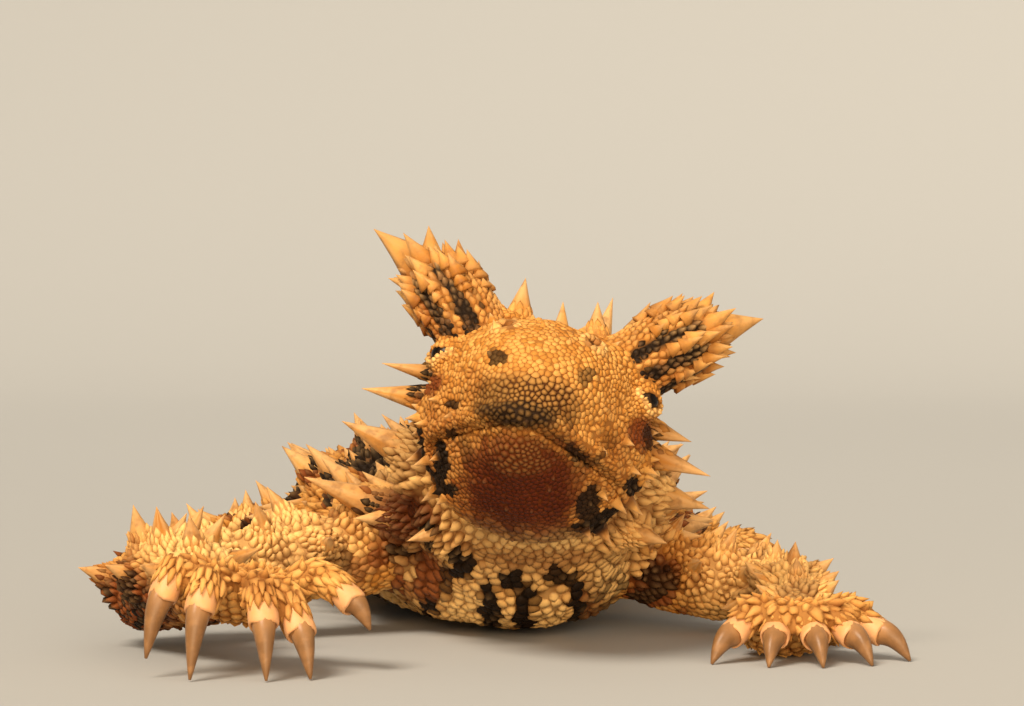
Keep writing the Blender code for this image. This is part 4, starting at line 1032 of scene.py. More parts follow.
def face_shape(local):
    """How far the face stands out at places in the head's axes: mouth, lips, chin, nostrils and ears."""
    mouth = mouth_line()
    gap, nearest = distance_to(local, mouth)
    above = local[:, 2] > mouth[nearest][:, 2]
    middle = smooth(1.5 - local[:, 1], 0.0, 4.0)
    lip = 0.46 * bump(gap - 0.75, 0.5)
    chin = 0.22 * bump(gap - 0.55, 0.3) - 0.55 * bump(gap, 1.7)
    shape = -0.85 * bump(gap, 0.25) + np.where(above, lip, chin) * (0.35 + 0.65 * middle)
    for side in (1, -1):
        gap = np.linalg.norm(local - nostril_place(side), axis=1)
        shape += 0.24 * bump(gap - 0.8, 0.28) - 0.3 * bump(gap, 0.5)
        gap = np.linalg.norm((local - ear_place(side)) / np.array([1, 1.0, 1.25]), axis=1)
        shape += -0.75 * bump(gap, 0.95) + 0.3 * bump(gap - 1.6, 0.4)
    crown = bump(local[:, 0], 2.4) * smooth(local[:, 1], -3.0, 1.0) * smooth(local[:, 2], 1.0, 3.0)
    shape -= 0.55 * crown
    lumps = 0.4 * (noise(local * [1, 0.6, 1], 1.7, 3) - 0.5)
    return shape + lumps * smooth(local[:, 1], -7.5, -2)


def shape_lids(points):
    """The skin dips behind the eyeball inside the lids' opening, and lies over it all round."""
    for side in (1, -1):
        reach, outside = Eye(side).outside(points)
        near = reach < 3.0
        off = points[near] - Eye(side).centre
        reach, outside = reach[near], outside[near]
        upper = smooth(unit(off) @ Eye(side).up, -0.1, 0.3)
        rise = LID_RISE * (1 - 0.8 * upper)
        wanted = EYE_RADIUS * 0.8 + (0.2 * EYE_RADIUS + rise) * smooth(outside, -2.0, 5.0)
        share = (1 - smooth(outside + 14 * upper, 20.0, 60.0)) * (1 - smooth(reach, 2.3, 3.0))
        points[near] += unit(off) * ((wanted - reach) * share)[:, None]


def mounds(points, spines):
    """How high the skin rises at each point round the roots of the two nearest spines."""
    tree = kd_tree(roots_of(spines))
    reaches = MOUND_REACH * radii_of(spines)
    heights = np.array([s.radius * s.mound for s in spines])
    rise = np.zeros(len(points))
    for i, place in enumerate(points):
        for _, k, gap in tree.find_n(place, 2):
            if gap < reaches[k]:
                rise[i] = max(rise[i], heights[k] * (1 - (gap / reaches[k]) ** 2) ** 2)
    return rise


def sculpt(surface, spines):
    """Raises the skin at the roots of the spines, and shapes the face and the folds."""
    points = surface.points
    normals = surface.normals()
    local = to_head(points)
    near = (local[:, 1] < 6.5) & (head_locate(points)[2] < 1.3)
    height = np.zeros(len(points))
    height[near] += face_shape(local[near])
    trunk = local[:, 1] > 6.5
    height[trunk] += 0.7 * (noise(points[trunk], 3.0, 4) - 0.5)
    points += normals * (height + mounds(points, spines))[:, None]
    shape_lids(points)
    on_floor(points)


def make_skin_surface(spines):
    mesh = remeshed(skin_meshes(), CELL)
    surface = Surface(*mesh_arrays(mesh))
    surface.relax(3)
    surface.fill(14)
    surface.relax(1)
    mesh.vertices.foreach_set("co", surface.points.ravel())
    refine(mesh, on_face)
    refine(mesh, on_mouth)
    surface = Surface(*mesh_arrays(mesh))
    surface.relax(2)
    sculpt(surface, spines)
    bpy.data.meshes.remove(mesh)
    return surface


def add_marks(found, places, marks, chosen):
    """Adds the marks, placed by where the camera's line to each place crosses the plane of the eyes."""
    share = CAMERA[1] / (CAMERA[1] - places[:, 1])
    across = places[:, 0] * share
    up = CAMERA[2] + (places[:, 2] - CAMERA[2]) * share
    ragged = 0.55 * (noise(places, 0.8, 21) - 0.5) + 0.35 * (noise(places, 0.35, 22) - 0.5)
    for x, z, wide, tall, turn, kind, strength in marks:
        c, s = math.cos(math.radians(turn)), math.sin(math.radians(turn))
        a = ((across - x) * c + (up - z) * s) / wide
        b = ((up - z) * c - (across - x) * s) / tall
        far = np.hypot(a, b)
        if kind == "dark":
            here = strength * smooth(1.25 - far + ragged, 0.0, 0.3) * chosen
            found["pale"] = found["pale"] * (1 - here)
        else:
            here = strength * smooth(1.5 - far + ragged * 0.6, 0.0, 0.9) * chosen
        if kind == "pale":
            found["dark"] = found["dark"] * (1 - here)
            found["red"] = found["red"] * (1 - 0.8 * here)
        found[kind] = np.maximum(found[kind], here)


def add_blotches(found, here, pattern, name):
    """Red blotches with dark middles where the pattern is high."""
    red, dark, red_strength, dark_strength = BLOTCHES[name]
    found["red"][here] = red_strength * smooth(pattern[here], *red)
    found["dark"][here] = dark_strength * smooth(pattern[here], *dark)


def mark_species(found, places, region, share, angle):
    """The blotches of the species on all of the body, and the pale stripe along its back."""
    turn = np.radians(angle)
    side, top = np.abs(np.cos(turn)), np.sin(turn)
    even = np.stack([side * 14, share * 62, top * 7], axis=1)
    blotch = noise(even, 7.5, 5) * 0.72 + noise(places, 2.0, 6) * 0.28
    ring = np.stack([side * 3, share * 26, top * 2], axis=1)
    band = noise(ring, 4.0, 7) * 0.75 + noise(places, 1.4, 8) * 0.25
    patch = noise(places, 5.0, 9) * 0.7 + noise(places, 1.6, 10) * 0.3
    trunk = np.isin(region, ("torso_front", "torso_rear", "neck"))
    back = trunk & (top > -0.15)
    belly = trunk & ~back
    limbs = np.isin(region, ("arms", "legs", "tail"))
    toes = np.isin(region, ("hands", "feet"))
    add_blotches(found, back, blotch, "back")
    add_blotches(found, belly, patch, "belly")
    add_blotches(found, limbs, band, "limbs")
    add_blotches(found, toes, patch, "toes")
    found["pale"][belly] = 0.8
    found["pale"][limbs] = smooth(0.42 - band[limbs], 0.0, 0.08) * 0.8
    found["pale"][toes] = 0.2
    stripe = smooth(0.10 - side, 0.0, 0.05) * (top > 0) * trunk
    for kind in ("dark", "red"):
        found[kind][region == "tail"] *= smooth(0.97 - share[region == "tail"], 0.0, 0.05)
        found[kind] *= 1 - stripe
    found["pale"] = np.maximum(found["pale"], stripe * 0.8)
    add_blotches(found, region == "nape", patch, "crown")
    return trunk, belly


def markings(body, places, where):
    """How dark, pale, red and beaded the coat is at each place, from 0 to 1."""
    part, share, angle = where
    kinds = ("dark", "pale", "red", "bead", "deep", "soft", "speck", "painted_shade")
    found = {kind: np.zeros(len(places)) for kind in kinds}
    region = body.regions(part, share)
    trunk, belly = mark_species(found, places, region, share, angle)
    head = np.isin(region, ("face", "nape"))
    add_marks(found, places, FACE_MARKS, head & (places[:, 1] < FACE_DEPTH))
    fore = places[:, 1] < BREAST_DEPTH
    breast = belly & fore
    found["dark"][breast] *= 0.15
    found["red"][breast] *= 0.4
    found["pale"][breast] = 0.5
    add_marks(found, places, BREAST_MARKS, trunk & fore)
    add_marks(found, places, ARM_MARKS, (region == "arms") & fore)
    rough = noise(places, 0.5, 23)
    found["dark"] = np.maximum(found["dark"], found.pop("speck") * smooth(rough, 0.5, 0.6))
    # Painted shade under the snout, mixed in as dark
    found["dark"] = np.maximum(found["dark"], found.pop("painted_shade") * 0.85)
    mark_openings(found, places)
    return found


def mark_openings(found, places):
    """Paints shade along the mouth, in the nostrils and in and round the eyes' openings, lightens the lower
    lip as painted light, reddens the ears, and makes the lids' lower edges pale.
    """
    near = np.linalg.norm(places - EYE_MIDDLE, axis=1) < 14
    here = places[near]
    local = to_head(here)
    mouth = mouth_line()
    gap, nearest = distance_to(local, mouth)
    # Painted light: a lighter band along the lower lip, where its top faces the light
    lip = bump(gap - 0.62, 0.22) * (local[:, 2] < mouth[nearest][:, 2]) * (np.abs(local[:, 0]) < 4)
    for kind in ("red", "deep"):
        found[kind][near] *= 1 - 0.8 * lip
    dark, pale, red = (found[kind][near] for kind in ("dark", "pale", "red"))
    # Painted shadow along the mouth, under the upper lip's overhang
    dark = np.maximum(dark, bump(gap, 0.3))
    for side in (1, -1):
        gap = np.linalg.norm(local - nostril_place(side), axis=1)
        # Painted shade in the nostrils' pits
        dark = np.maximum(dark, smooth(0.6 - gap, 0.0, 0.25))
        pale = np.maximum(pale, 0.7 * bump(gap - 0.85, 0.25))
        gap = np.linalg.norm(local - ear_place(side), axis=1)
        red = np.maximum(red, 0.75 * smooth(1.5 - gap, 0.0, 0.5))
        eye = Eye(side)
        reach, outside = eye.outside(here)
        close = reach < 2.4
        # Painted shade in the eye's opening and along its rim
        dark = np.maximum(dark, smooth(3.0 - outside, 0.0, 3.0) * close)
        low = (here - eye.centre) @ eye.up < 0.1
        pale = np.maximum(pale, 0.9 * bump(outside - 12, 9) * close * low)
    found["dark"][near], found["pale"][near], found["red"][near] = dark, pale, red


def horn_markings(share, angle, places):
    """Broad black stripes along the horn on its front, back and underside, broken here and there."""
    folded = np.where(np.abs(angle) > 90, np.sign(angle) * 180 - angle, angle)
    wander = 14 * (noise(places, 2.6, 31) - 0.5)
    wave = np.cos(np.radians((folded + wander - 38) * 360 / 42))
    broken = 1.1 * (noise(places, 1.7, 32) - 0.5)
    lower = smooth(32 - folded, 0.0, 10.0)
    dark = smooth(wave + broken, -0.3, -0.1) * lower * smooth(0.92 - share, 0.0, 0.1)
    pale = 0.5 * smooth(folded, 35, 80) * (1 - dark)
    red = 0.35 * noise(places, 1.5, 33) + 0.3 * smooth(-folded, 0, 70)
    return {"dark": dark, "pale": pale, "red": red, "bead": 0.3 * (1 - dark)}


class Spine:
    """A thorn: where it leaves the skin, which way, how long and wide, and how high the skin rises."""

    def __init__(self, region, root, direction, length, radius, back=(0.0, 0.0, 0.0), mound=None):
        self.region = region
        self.root = np.array(root, float)
        self.direction = unit(np.array(direction, float))
        self.length = length
        self.radius = radius
        self.back = np.array(back)
        self.mound = mound or (LARGE_MOUND if radius > 0.8 else MOUND)

    def axes(self):
        """Two directions across the thorn."""
        across = unit(np.cross(self.direction, (0.31, 0.2, 0.93)))
        return across, np.cross(self.direction, across)


def spine_to(region, root, tip, radius, mound=None):
    span = np.array(tip) - np.array(root)
    return Spine(region, root, span, np.linalg.norm(span), radius, mound=mound)


def roots_of(spines):
    return np.array([s.root for s in spines])


def radii_of(spines):
    return np.array([s.radius for s in spines])


def row_share(step, count):
    """Share of the part's length at a step of a row of so many."""
    return ROW_START + (ROW_END - ROW_START) * (step / count)


def row_spines(body):
    """The rows of large and small spines, in the order and with the spread of the solids' own."""
    chance = random.Random(SEED)
    spines = []

    def spread(value):
        return chance.uniform(-value, value)

    tail = smooth_rows(TAIL_STATIONS, 21)
    split = int(TAIL_SPLIT * 20)
    halves = {"tail_base": Tube(tail[: split + 1]), "tail_tip": Tube(tail[split:])}
    for name, (angles, kinds, count, lean) in SPINE_ROWS.items():
        tube = halves.get(name) or body.lines[name]
        region = "tail" if name in halves else body.kind[name]
        for row, (angle, (length, radius)) in enumerate(zip(angles, kinds)):
            for i in range(count):
                u = row_share(i + 0.25 + 0.5 * (row % 2) + spread(0.12), count)
                turn = angle + spread(3)
                size = tube.thickness(u) * (1 + spread(0.12))
                ahead = tube.forward(u)
                direction = tube.normal(u, turn) + ahead * lean
                place = tube.point(u, turn)
                spines.append(Spine(region, place, direction, length * size, radius * size, ahead))
    tube = body.lines["torso"]
    angles, count = SMALL_ROWS
    for row, angle in enumerate(angles):
        for i in range(count):
            u = row_share(i + 0.5 + 0.5 * (row % 2) + spread(0.2), count)
            turn = angle + spread(4)
            ahead = tube.forward(u)
            direction = tube.normal(u, turn) + ahead * 0.3
            spines.append(Spine("torso", tube.point(u, turn), direction, *SMALL, ahead))
    return spines


def single_spines():
    """The spines that have places of their own, the points of the head's skin and the ears' rims."""
    spines = [spine_to("neck", *spine) for spine in NECK_SPINES]
    spines += [spine_to("torso", *spine) for spine in SHOULDER_SPINES]
    for root, tip, radius in HEAD_SPINES:
        spines.append(spine_to("head", from_head(root), from_head(tip), radius, HEAD_MOUND))
    backward = HEAD_TURN @ np.array([0.0, 0.5, 0.1])
    ear_y, ear_z = EAR_PLACE
    for side in (1, -1):
        for y, turn, length, radius in HEAD_POINTS:
            place, facing = head_surface(y, turn * side)
            spines.append(Spine("head", place, facing + backward, length * 0.85, radius * 0.6))
        for turn in range(0, 360, EAR_STEP):
            y = ear_y + EAR_RING[0] * math.cos(math.radians(turn))
            z = ear_z + EAR_RING[1] * math.sin(math.radians(turn))
            place, facing = head_surface(y, side * head_turn_at(y, z))
            spines.append(Spine("head", place, facing + backward, *EAR_POINT))
    return spines


def clear_spines(body, spines):
    """Leaves out the spines whose roots lie inside another part or whose tips would pass the floor."""
    roots = roots_of(spines)
    tips = np.array([s.root + s.direction * s.length for s in spines])
    kept = tips[:, 2] > 0.3
    for line in body.lines.values():
        locate = line.locate if line else head_locate
        kept &= (locate(roots)[2] > 0.86) & (locate(tips)[2] > 1.0)
    return [s for s, yes in zip(spines, kept) if yes]


def between_spines(body, surface, spines, number):
    """Smaller thorns of many sizes where there is room between the large ones."""
    places, normals, _ = scatter(surface, np.full(len(surface.points), BETWEEN), number)
    part, share, _ = body.locate(places)
    region = body.regions(part, share)
    gap, nearest = distance_to(places, roots_of(spines))
    open_skin = gap > 1.3 * radii_of(spines)[nearest] + 0.5
    open_skin &= (places[:, 2] > 1.2) & ~np.isin(region, ("face", "hands", "feet"))
    open_skin &= (normals[:, 2] > -0.15) & ((normals[:, 1] > -0.3) | (places[:, 1] > 23))
    backward = body.backward(part, share)
    found = []
    for k in np.flatnonzero(open_skin):
        size = 0.6 + 0.7 * number.random()
        small = 0.75 if region[k] in ("nape", "arms", "legs") else 1.0
        kind = body.kind[body.names[part[k]]]
        direction = normals[k] + backward[k] * 0.35
        length, radius = 1.5 * size * small, 0.55 * size**0.5 * small
        found.append(Spine(kind, places[k], direction, length, radius, backward[k]))
    return found


def scatter(surface, spacing, number):
    """Places on the surface at least the local spacing apart, with their normals and spacing."""
    points, triangles = surface.points, surface.triangles
    a, b, c = (points[triangles[:, k]] for k in range(3))
    area = np.linalg.norm(np.cross(b - a, c - a), axis=1) / 2
    wanted = spacing[triangles].mean(axis=1)
    counts = np.floor(CROWD * area / wanted**2 + number.random(len(area))).astype(int)
    which = np.repeat(np.arange(len(area)), counts)
    r, s = np.sqrt(number.random(len(which))), number.random(len(which))
    share = np.stack([1 - r, r * (1 - s), r * s], axis=1)[:, :, None]
    corners = triangles[which]
    places = (points[corners] * share).sum(axis=1)
    normals = unit((surface.normals()[corners] * share).sum(axis=1))
    room = (spacing[corners] * share[:, :, 0]).sum(axis=1)
    order = number.permutation(len(places))
    return thin_out(places[order], normals[order], room[order])


def thin_out(places, normals, room):
    """Keeps each place in turn and drops those nearer to it than its room."""
    tree = kd_tree(places)
    alive = np.ones(len(places), bool)
    for i in range(len(places)):
        if alive[i]:
            for _, k, _ in tree.find_range(places[i], room[i]):
                alive[k] = k == i
    return places[alive], normals[alive], room[alive]


def outlines(places, along, across, room):
    """How far each scale reaches in each direction, half way to its neighbours."""
    tree = kd_tree(places)
    near = np.array([[k for _, k, _ in tree.find_n(p, 10)][1:] for p in places])
    off = places[near] - places[:, None]
    x = (off * along[:, None]).sum(2)
    y = (off * across[:, None]).sum(2)
    gap = np.hypot(x, y)
    turn = np.arctan2(y, x)
    facing = np.cos(circle(SCALE_SIDES)[None, :, None] - turn[:, None, :])
    reach = np.where(facing > 0.2, gap[:, None] / 2 / np.maximum(facing, 0.2), np.inf).min(axis=2)
    return np.clip(reach, 0.3 * room[:, None], 0.98 * room[:, None])


class Scales:
    """Scales to be built: their places and frames, and the shape of each."""

    # How deep a scale's base is sunk in the skin, and how far the rise to its top is at its shoulder
    sink = 0.16
    shoulder_rise = 0.72

    def __init__(self, places, normals, backward, room):
        self.places, self.normals, self.room = places, normals, room
        self.along = unit(backward - (backward * normals).sum(1)[:, None] * normals)
        self.across = np.cross(normals, self.along)
        self.reach = outlines(places, self.along, self.across, room)
        count = len(places)
        self.tall = room * 0.34
        self.lean = room * 0.05
        self.shoulder = np.full(count, 0.86)
        self.lift = np.full(count, 0.72)
        self.tip = np.zeros(count)
        self.point = np.zeros(count)

    def shape(self, mask, *values):
        """Gives the chosen scales a height, a lean along the coat, a shoulder's width and height, a pale
        tip, and a point at the back."""
        for name, value in zip(("tall", "lean", "shoulder", "lift", "tip", "point"), values):
            getattr(self, name)[mask] = value

    def arrays(self):
        """Points, faces, rise and flat outline: a base sunk in the skin, a shoulder and a top."""
        count, sides = self.reach.shape
        ring = polar(circle(sides))
        flat = self.along[:, None] * ring[None, :, :1] + self.across[:, None] * ring[None, :, 1:]
        shape = (self.tall, self.lean, self.shoulder, self.lift, self.point)
        tall, lean, shoulder, lift, point = (values[:, None, None] for values in shape)
        middle, up, back = self.places[:, None], self.normals[:, None], self.along[:, None]
        out = flat * self.reach[:, :, None]
        base = middle + out * 0.98 - up * self.sink
        ahead = (np.maximum(ring[:, 0], 0) ** 6)[None, :, None] * point
        narrow = 1 + 0.8 * ahead - 0.26 * np.abs(ring[:, 1])[None, :, None] * point
        edge = middle + out * shoulder * narrow + up * tall * (lift + 0.55 * ahead) + back * lean * lift
        top = middle + up * tall + back * lean
        points = np.concatenate([base, edge, top], axis=1)
        start = (np.arange(count) * (2 * sides + 1))[:, None]
        k = np.arange(sides)
        j = (k + 1) % sides
        quads = np.stack([start + k, start + j, start + sides + j, start + sides + k], axis=2)
        end = np.broadcast_to(start + 2 * sides, (count, sides))
        tops = np.stack([start + sides + k, start + sides + j, end], axis=2)
        rise = np.concatenate([np.zeros(sides), np.full(sides, self.shoulder_rise), [1.0]])
        around = np.concatenate([ring, ring * 0.8, np.zeros((1, 2))])
        faces = [quads.reshape(-1, 4), tops.reshape(-1, 3)]
        return on_floor(points.reshape(-1, 3)), faces, np.tile(rise, count), around

    def build(self, name, found, number, columns, share, angle):
        """The object, with its marks and a patch of the unwrap for each scale."""
        points, faces, rise, around = self.arrays()
        size = len(around)
        # Soft marks lift the rise, which weakens the painted crevice shade
        if "soft" in found:
            rise = rise + 0.7 * np.repeat(found["soft"], size) * (1 - rise)
        attributes = {kind: np.repeat(values, size) for kind, values in found.items()}
        attributes["shade"] = np.repeat(number.random(len(self.places)), size)
        attributes["rise"] = rise
        attributes["tip"] = np.repeat(self.tip, size) * np.clip(rise * 2 - 1, 0, 1)
        return new_object(name, points, faces, attributes, patch_map(columns, share, angle, around))


def patch_map(part, share, angle, around):
    """A small patch for each scale or spine at its place on the parts laid out side by side."""
    parts = np.unique(part)
    u = (np.searchsorted(parts, part) + 0.06 + 0.88 * (angle % 360) / 360) / len(parts)
    v = 0.02 + 0.96 * share
    return (np.stack([u, v], axis=1)[:, None] + around[None] * PATCH / 2).reshape(-1, 2)


def make_scales(body, region, chosen, spines, number):
    """One region's scales, from the places, normals, room, part, share and angle of each."""
    places, normals, room, part, share, angle = chosen
    gap, nearest = distance_to(places, roots_of(spines))
    radii = radii_of(spines)[nearest]
    collar = (gap < 2.1 * radii) & (radii > 0.7) & (region not in ("face", "nape"))
    backward = body.backward(part, share)
    backward[collar] = (roots_of(spines)[nearest] - places)[collar]
    scales = Scales(places, normals, backward, room)
    thorny, keels, height = SHAPES[region]
    pick = number.random(len(places))
    uneven = number.random(len(places))
    scales.tall = room * (0.28 + 0.14 * uneven)
    found = markings(body, places, (part, share, angle))
    if region == "face":
        tall = room * (0.26 + 0.1 * uneven) * (1 - 0.55 * found["soft"])
        scales.shape(EVERY, tall, room * 0.04, 0.86, 0.80)
        local = to_head(places)
        pick -= 0.14 * (np.abs(local[:, 0]) > 4.2) * (local[:, 2] < 0)
    keeled = (pick > thorny) & (pick < thorny + keels)
    scales.shape(keeled, (room * (0.40 + 0.16 * uneven))[keeled], 0.35 * room[keeled], 0.78, 0.55, 0.5, 0.5)
    if region in ("arms", "hands", "feet", "legs"):
        scales.reach[keeled] *= 1.2
        tall = room * (0.34 + 0.34 * uneven)
        point = 1.2 if region in ("hands", "feet") else 0.6
        scales.shape(keeled, tall[keeled], (0.65 * room)[keeled], 0.88, 0.42, 0.5, point)
    thorn = (pick < thorny) & (normals[:, 2] > -0.3)
    tall = height * (0.7 + 0.6 * uneven[thorn])
    scales.shape(thorn, tall, 0.45 * tall, 0.55, 0.4)
    size = room[collar] * (0.9 + 0.5 * uneven[collar])
    scales.shape(collar, size, size * 0.45, 0.66, 0.5, 0.6, 0.6)
    return scales.build(f"scales_{region}", found, number, part, share, angle)


def spoke(across, other, step, count):
    """One of so many directions evenly round an axis, from two directions across it."""
    turn = 2 * math.pi * step / count
    return across * math.cos(turn) + other * math.sin(turn)


def make_fringes(body, number):
    """Pointed scales that lie over the root of each cuff, in two rows."""
    half, back, _ = CUFF
    found = []
    for root, tip in claw_ends(*FEET.values()):
        direction, across, other = cuff_axes(root, tip)
        for row, (reach, wide) in enumerate(FRINGE_ROWS):
            for k in range(FRINGE_COUNT):
                step = k + 0.5 * (row % 2) + number.uniform(-0.2, 0.2)
                out = spoke(across, other, step, FRINGE_COUNT)
                place = root + direction * back * (reach + number.uniform(-0.08, 0.05)) + out * half * wide
                found.append((place, out, direction))
    places, normals, ahead = (np.array(v) for v in zip(*found))
    scales = Scales(places, normals, ahead, np.full(len(places), FRINGE_SIZE))
    uneven = number.random(len(places))
    scales.shape(EVERY, 0.14 + 0.2 * uneven, 0.3 + 0.3 * uneven, 0.86, 0.45, 0.4, 1.1)
    where = body.locate(places)
    return scales.build("fringes", markings(body, places, where), number, *where)


def collar_places(spines, skin, number):
    """Places, normals and directions for scales up the lower third of the thorns, and their room."""
    tree, points, outward = skin
    found = []
    for spine in spines:
        if spine.radius < COLLAR_RADIUS:
            continue
        across, other = spine.axes()
        gap = 0.4 + 0.06 * spine.radius
        for k, reach in enumerate(np.arange(-0.1, 0.38, 0.72 * gap / spine.length)):
            wide = spine.radius * np.interp(reach, *zip(*SPINE_PROFILE))
            count = max(5, round(2 * math.pi * wide / gap))
            for i in range(count):
                if number.random() < (reach - 0.16) / 0.24:
                    continue
                out = spoke(across, other, i + 0.5 * (k % 2) + number.uniform(-0.15, 0.15), count)
                place = spine.root + spine.direction * spine.length * reach + out * wide
                _, near, _ = tree.find(place)
                if (place - points[near]) @ outward[near] > 0.05:
                    found.append((place, unit(out + spine.direction * 0.4), spine.direction, gap))
    return [np.array(v) for v in zip(*found)]


def make_collars(body, kind, spines, skin, number):
    """Pointed scales that climb the larger thorns."""
    places, normals, ahead, room = collar_places(spines, skin, number)
    scales = Scales(places, normals, ahead, room)
    uneven = number.random(len(places))
    low = 0.5 if kind == "head" else 1.0
    scales.shape(EVERY, low * room * (0.34 + 0.3 * uneven), room * 0.8, 0.78, 0.4, 0.5, 0.8)
    where = body.locate(places)
    return scales.build(f"collars_{kind}", markings(body, places, where), number, *where)


def spine_points(spine):
    """Points of one fluted thorn, ring by ring, how far each is to the tip, and how much of the pale tip
    colour each takes: streaks, with painted shade in the flutes' grooves.
    """
    across, other = spine.axes()
    angles = circle(SPINE_SIDES)
    flat = across * np.cos(angles)[:, None] + other * np.sin(angles)[:, None]
    flutes = np.cos(angles * 8)
    points, rise, streak_and_groove_shade = [], [], []
    lumps = polar(angles) * 1.6 + spine.root[:2] * 3
    for reach, wide in SPINE_PROFILE:
        rough = noise(np.hstack([lumps, np.full((SPINE_SIDES, 1), reach * 1.2)]), 1.0, 61) - 0.5
        ridge = 1 + (0.07 * flutes + 0.4 * rough) * max(0.0, 1 - 0.85 * abs(reach))
        bend = spine.back * 0.10 * spine.length * max(reach, 0) ** 2
        centre = spine.root + spine.direction * spine.length * reach + bend
        points.append(centre + flat * (spine.radius * wide * ridge)[:, None])
        rise += [max(reach, 0.0)] * SPINE_SIDES
        # Painted shade: the flutes' grooves and sunken lumps get less of the pale tip colour than the ridges
        streak_and_groove_shade += (0.5 + rough + 0.12 * flutes).tolist()
    points.append([spine.root - spine.direction * spine.length * 0.25])
    points.append([points[-2].mean(axis=0) + spine.direction * 0.01])
    return np.vstack(points), np.array(rise + [0.0, 1.0]), np.array(streak_and_groove_shade + [0.5, 0.5])


def make_spines(name, spines, found, number, part, share, angle):
    """An object of thorns, marked at their roots only."""
    rings = len(SPINE_PROFILE)
    size = rings * SPINE_SIDES + 2
    starts = (np.arange(len(spines)) * size)[:, None, None]
    kinds = by_corners(ring_faces(rings, SPINE_SIDES))
    faces = [(kind[None] + starts).reshape(-1, kind.shape[1]) for kind in kinds]
    points, rise, streak_and_groove_shade = (np.concatenate(v) for v in zip(*map(spine_points, spines)))
    low = np.clip(1 - rise * 2.2, 0, 1)
    attributes = {kind: np.repeat(values, size) * low for kind, values in found.items()}
    attributes["shade"] = np.repeat(number.random(len(spines)), size)
    attributes["rise"] = np.clip(0.55 + rise, 0, 1)
    attributes["tip"] = np.clip(rise * (0.35 + 1.3 * streak_and_groove_shade), 0, 1)
    ring = polar(circle(SPINE_SIDES))
    flat = np.vstack([ring * (1 - 0.9 * k / rings) for k in range(rings)] + [np.zeros((2, 2))])
    return new_object(name, on_floor(points), faces, attributes, patch_map(part, share, angle, flat))


def horn_spines(name, horn, chance):
    """The large thorn at the horn's end, the thorns that stand out along it and ridges of short ones."""
    root, radius = HORN_END
    spines = [spine_to("horn", from_head(mirrored(root, horn.side)), from_head(HORN_TIPS[name]), radius)]
    for *tip, radius in HORN_THORNS[name]:
        tip = from_head(tip)
        spines.append(spine_to("horn", horn.thorn_root(tip), tip, radius))
    for row, angle in enumerate(HORN_RIDGES):
        for i in range(RIDGE_COUNT):
            u = RIDGE_START + RIDGE_STEP * (i + 0.5 * (row % 2)) + chance.uniform(-0.02, 0.02)
            place, facing = horn.point(u, angle + chance.uniform(-5, 5))
            direction = horn.tube.forward(u) + facing * 0.4
            size = 0.1 + 1.6 * u + chance.uniform(-0.25, 0.25)
            spines.append(Spine("horn", place, direction, size, 0.24 + 0.25 * size))
    return spines


def horn_core(name, horn):
    """The horn's plain form as an object and as a surface, and the share along the horn of its points."""
    points, faces = horn.tube.mesh(48, 40)
    quads, tips = by_corners(faces)
    share, angle = horn.locate(points)
    found = horn_markings(share, angle, points)
    count = len(points)
    # A rise of 0.35 gives the core part of the painted crevice shade
    found.update(shade=np.full(count, 0.5), rise=np.full(count, 0.35), tip=np.zeros(count))
    triangles = np.vstack([quads[:, :3], quads[:, [0, 2, 3]], tips])
    return new_object(f"horn_core_{name}", points, [quads, tips], found), Surface(points, triangles), share


def make_horn(name, number):
    """The horn's core, and its scales, which grow from grains at its root to keeled ones at its end."""
    horn = Horn(name, -0.1)
    horn.tube.rows[:, 3:] *= 1 - 0.3 * smooth(np.linspace(0, 1, horn.tube.fine), 0.75, 1.0)[:, None]
    core, surface, share = horn_core(name, horn)
    spacing = HORN_SPACING[0] + (HORN_SPACING[1] - HORN_SPACING[0]) * share
    places, normals, room = scatter(surface, spacing, number)
    share, angle = horn.locate(places)
    rows = horn.rows_at(share)
    outward = ((places - horn.tube.rows[rows, :3]) * normals).sum(1).mean()
    kept = (share > 0.02) & (head_locate(places)[2] > 0.93)
    reach, outside = Eye(horn.side).outside(places)
    kept &= (reach > EYE_CLEAR) | (outside > LIDS_CLEAR)
    places, room, share, angle, rows = (v[kept] for v in (places, room, share, angle, rows))
    normals = normals[kept] * math.copysign(1, outward)
    scales = Scales(places, normals, horn.tube.along[rows], room)
    uneven = number.random(len(places))
    found = horn_markings(share, angle, places)
    tall = room * (0.34 + 0.8 * share * uneven) * (1 - 0.45 * found["dark"])
    lean = room * (0.15 + 0.9 * share)
    scales.shape(EVERY, tall, lean, 0.82 - 0.1 * share, 0.7 - 0.25 * share, share, 0.3 + 0.8 * share)
    made = scales.build(f"horn_scales_{name}", found, number, np.zeros(len(places)), share, angle)
    return core, made, horn


def claw_ends(*feet):
    """The root and tip of each claw of the feet."""
    return [toe_parts(foot, toe)[1:] for foot in feet for toe in foot["toes"]]


